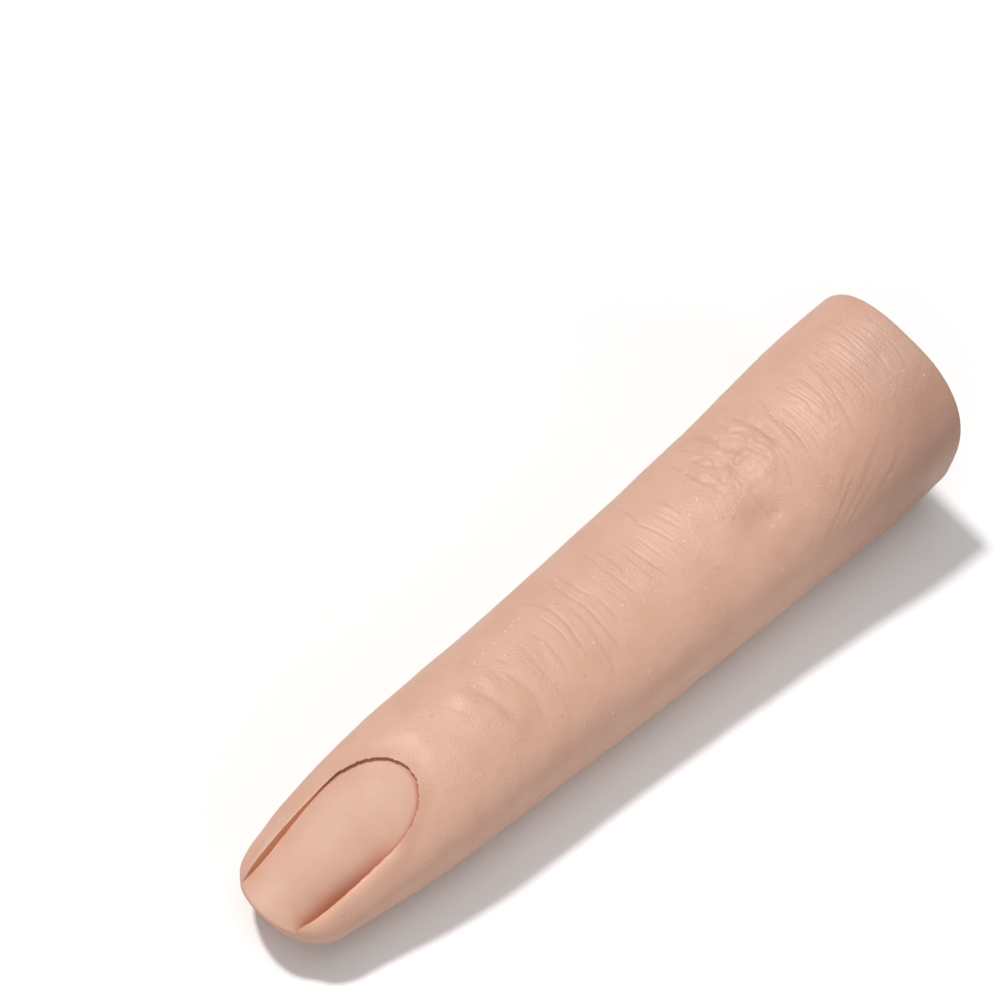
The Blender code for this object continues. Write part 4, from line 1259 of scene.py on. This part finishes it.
def steel_material():
    paint = new_paint("pin steel")
    stretched = paint.node("ShaderNodeMapping", {}, {"Vector": paint.object_place(), "Scale": BRUSH_STRETCH})
    brushed = paint.noise(stretched, scale=1.0)
    colour = paint.mix(brushed, STEEL, STEEL_BRIGHT)
    rough = brushed.between(0.28, 0.42)
    bump = paint.bump(brushed, distance=0.00001)
    return paint.finish(Base_Color=colour, Metallic=1.0, Roughness=rough, Normal=bump)


def washer_material():
    paint = new_paint("washer rubber")
    grain = paint.noise(paint.object_place(), scale=3000.0, detail=3.0)
    colour = paint.mix(grain, RUBBER, RUBBER_GREY)
    rough = grain.between(0.70, 0.85)
    return paint.finish(Base_Color=colour, Roughness=rough, Normal=paint.bump(grain, distance=0.00002))


core_finishes = (("bone", bone_material()), ("pin", steel_material()), ("washer", washer_material()))
for node_name, node in frame["nodes"].items():
    for word, material in core_finishes:
        if word in node_name:
            give(node, material)
for node_name in ("proximal_skin", "middle_skin", "distal_skin", "pip_knuckle_skin", "dip_knuckle_skin"):
    give(frame["nodes"][node_name], skin_paint)
give(frame["nodes"]["nail_bed"], nail_bed.data.materials[0])

# %% [markdown]
# ## The table top
# The finger lies on a plain white top. Seen by the camera the top is pure white where the lamps reach it,
# and only the shadow shows. The light that it throws back at the finger is that of a pale grey card.

# %% Table top
WHITE = (1.0, 1.0, 1.0, 1.0)
PALE_CARD = (0.85, 0.85, 0.85, 1.0)
TABLE_SIZE = 4.0
TABLE_GAP = 0.02 * MILLIMETRE


def top_material():
    paint = new_paint("white top")
    colour = paint.mix(paint.node("ShaderNodeLightPath", output="Is Camera Ray"), PALE_CARD, WHITE)
    return paint.finish(Base_Color=colour, Roughness=1.0, Specular_IOR_Level=0.0)


bpy.ops.object.select_all(action="DESELECT")
bpy.ops.mesh.primitive_plane_add(size=TABLE_SIZE, location=(0, 0, -TABLE_GAP))
table_top = bpy.context.object
table_top.name = "table_top"
give(table_top, top_material())
print("table top", tuple(table_top.dimensions))

# %% [markdown]
# ## The light
# The finger's shadow shows where the light comes from: a lamp on the -X side throws its dark core, and
# three broad soft lamps fill it. The surroundings are white to the camera and in reflections, and give no
# other light. The lamps together light a level surface just so much that a colour renders about as it is
# written.

# %% World and lamps: azimuth, elevation, breadth and strength
LAMPS = (
    ("key_lamp", 184, 62.0, 6, 1.97),
    ("soft_lamp_left", 165, 80, 60, 0.82),
    ("soft_lamp_right", 0, 25, 60, 0.64),
    ("soft_lamp_front", 292, 48, 50, 0.50),
)


def add_lamp(name, azimuth, elevation, breadth, strength):
    """A lamp far away, at angles in degrees, as broad as the given angle."""
    turn, lift = math.radians(azimuth), math.radians(elevation)
    towards_lamp = Vector((math.cos(lift) * math.cos(turn), math.cos(lift) * math.sin(turn), math.sin(lift)))
    data = bpy.data.lights.new(name, "SUN")
    data.energy = strength
    data.angle = math.radians(breadth)
    lamp = bpy.data.objects.new(name, data)
    lamp.rotation_euler = towards_lamp.to_track_quat("Z", "Y").to_euler()
    bpy.context.scene.collection.objects.link(lamp)


for lamp_row in LAMPS:
    add_lamp(*lamp_row)
world = bpy.data.worlds.new("studio")
bpy.context.scene.world = world
studio = Paint(world)
seen_directly = studio.node("ShaderNodeLightPath", output="Is Camera Ray")
seen_in_gloss = studio.node("ShaderNodeLightPath", output="Is Glossy Ray")
seen_through = studio.node("ShaderNodeLightPath", output="Is Transmission Ray")
studio.finish(Color=WHITE, Strength=seen_directly + seen_in_gloss + seen_through)
print(len(LAMPS), "lamps")

# %% [markdown]
# ## The camera
# The picture is taken with a long lens from above the fingertip, turned a little so that the finger lies
# across it.

# %% Camera
AZIMUTH = math.radians(32.5)
ELEVATION = math.radians(56.3)
ROLL = math.radians(14.4)
DISTANCE = 0.420
NEAR_CLIP = 0.01
PICTURE_PIXELS = 1000
PIXELS_TO_A_MILLIMETRE = 10.35
PICTURE_WIDTH_AT_AIM = PICTURE_PIXELS / PIXELS_TO_A_MILLIMETRE * MILLIMETRE
AIM = Vector((-0.0165, 0.00495, 0.0070))
SENSOR = 36.0

towards = Vector((math.sin(AZIMUTH) * math.cos(ELEVATION), -math.cos(AZIMUTH) * math.cos(ELEVATION),
                  math.sin(ELEVATION)))
level_right = Vector((math.cos(AZIMUTH), math.sin(AZIMUTH), 0))
level_up = towards.cross(level_right)
right = level_right * math.cos(ROLL) + level_up * math.sin(ROLL)
up = level_up * math.cos(ROLL) - level_right * math.sin(ROLL)
camera_data = bpy.data.cameras.new("camera")
camera_data.sensor_width = SENSOR
camera_data.lens = SENSOR * DISTANCE / PICTURE_WIDTH_AT_AIM
camera_data.clip_start = NEAR_CLIP
camera = bpy.data.objects.new("camera", camera_data)
turn = Matrix((right, up, towards)).transposed().to_4x4()
camera.matrix_world = Matrix.Translation(AIM + towards * DISTANCE) @ turn
bpy.context.scene.collection.objects.link(camera)
bpy.context.scene.camera = camera
bpy.context.scene.view_settings.view_transform = "Standard"
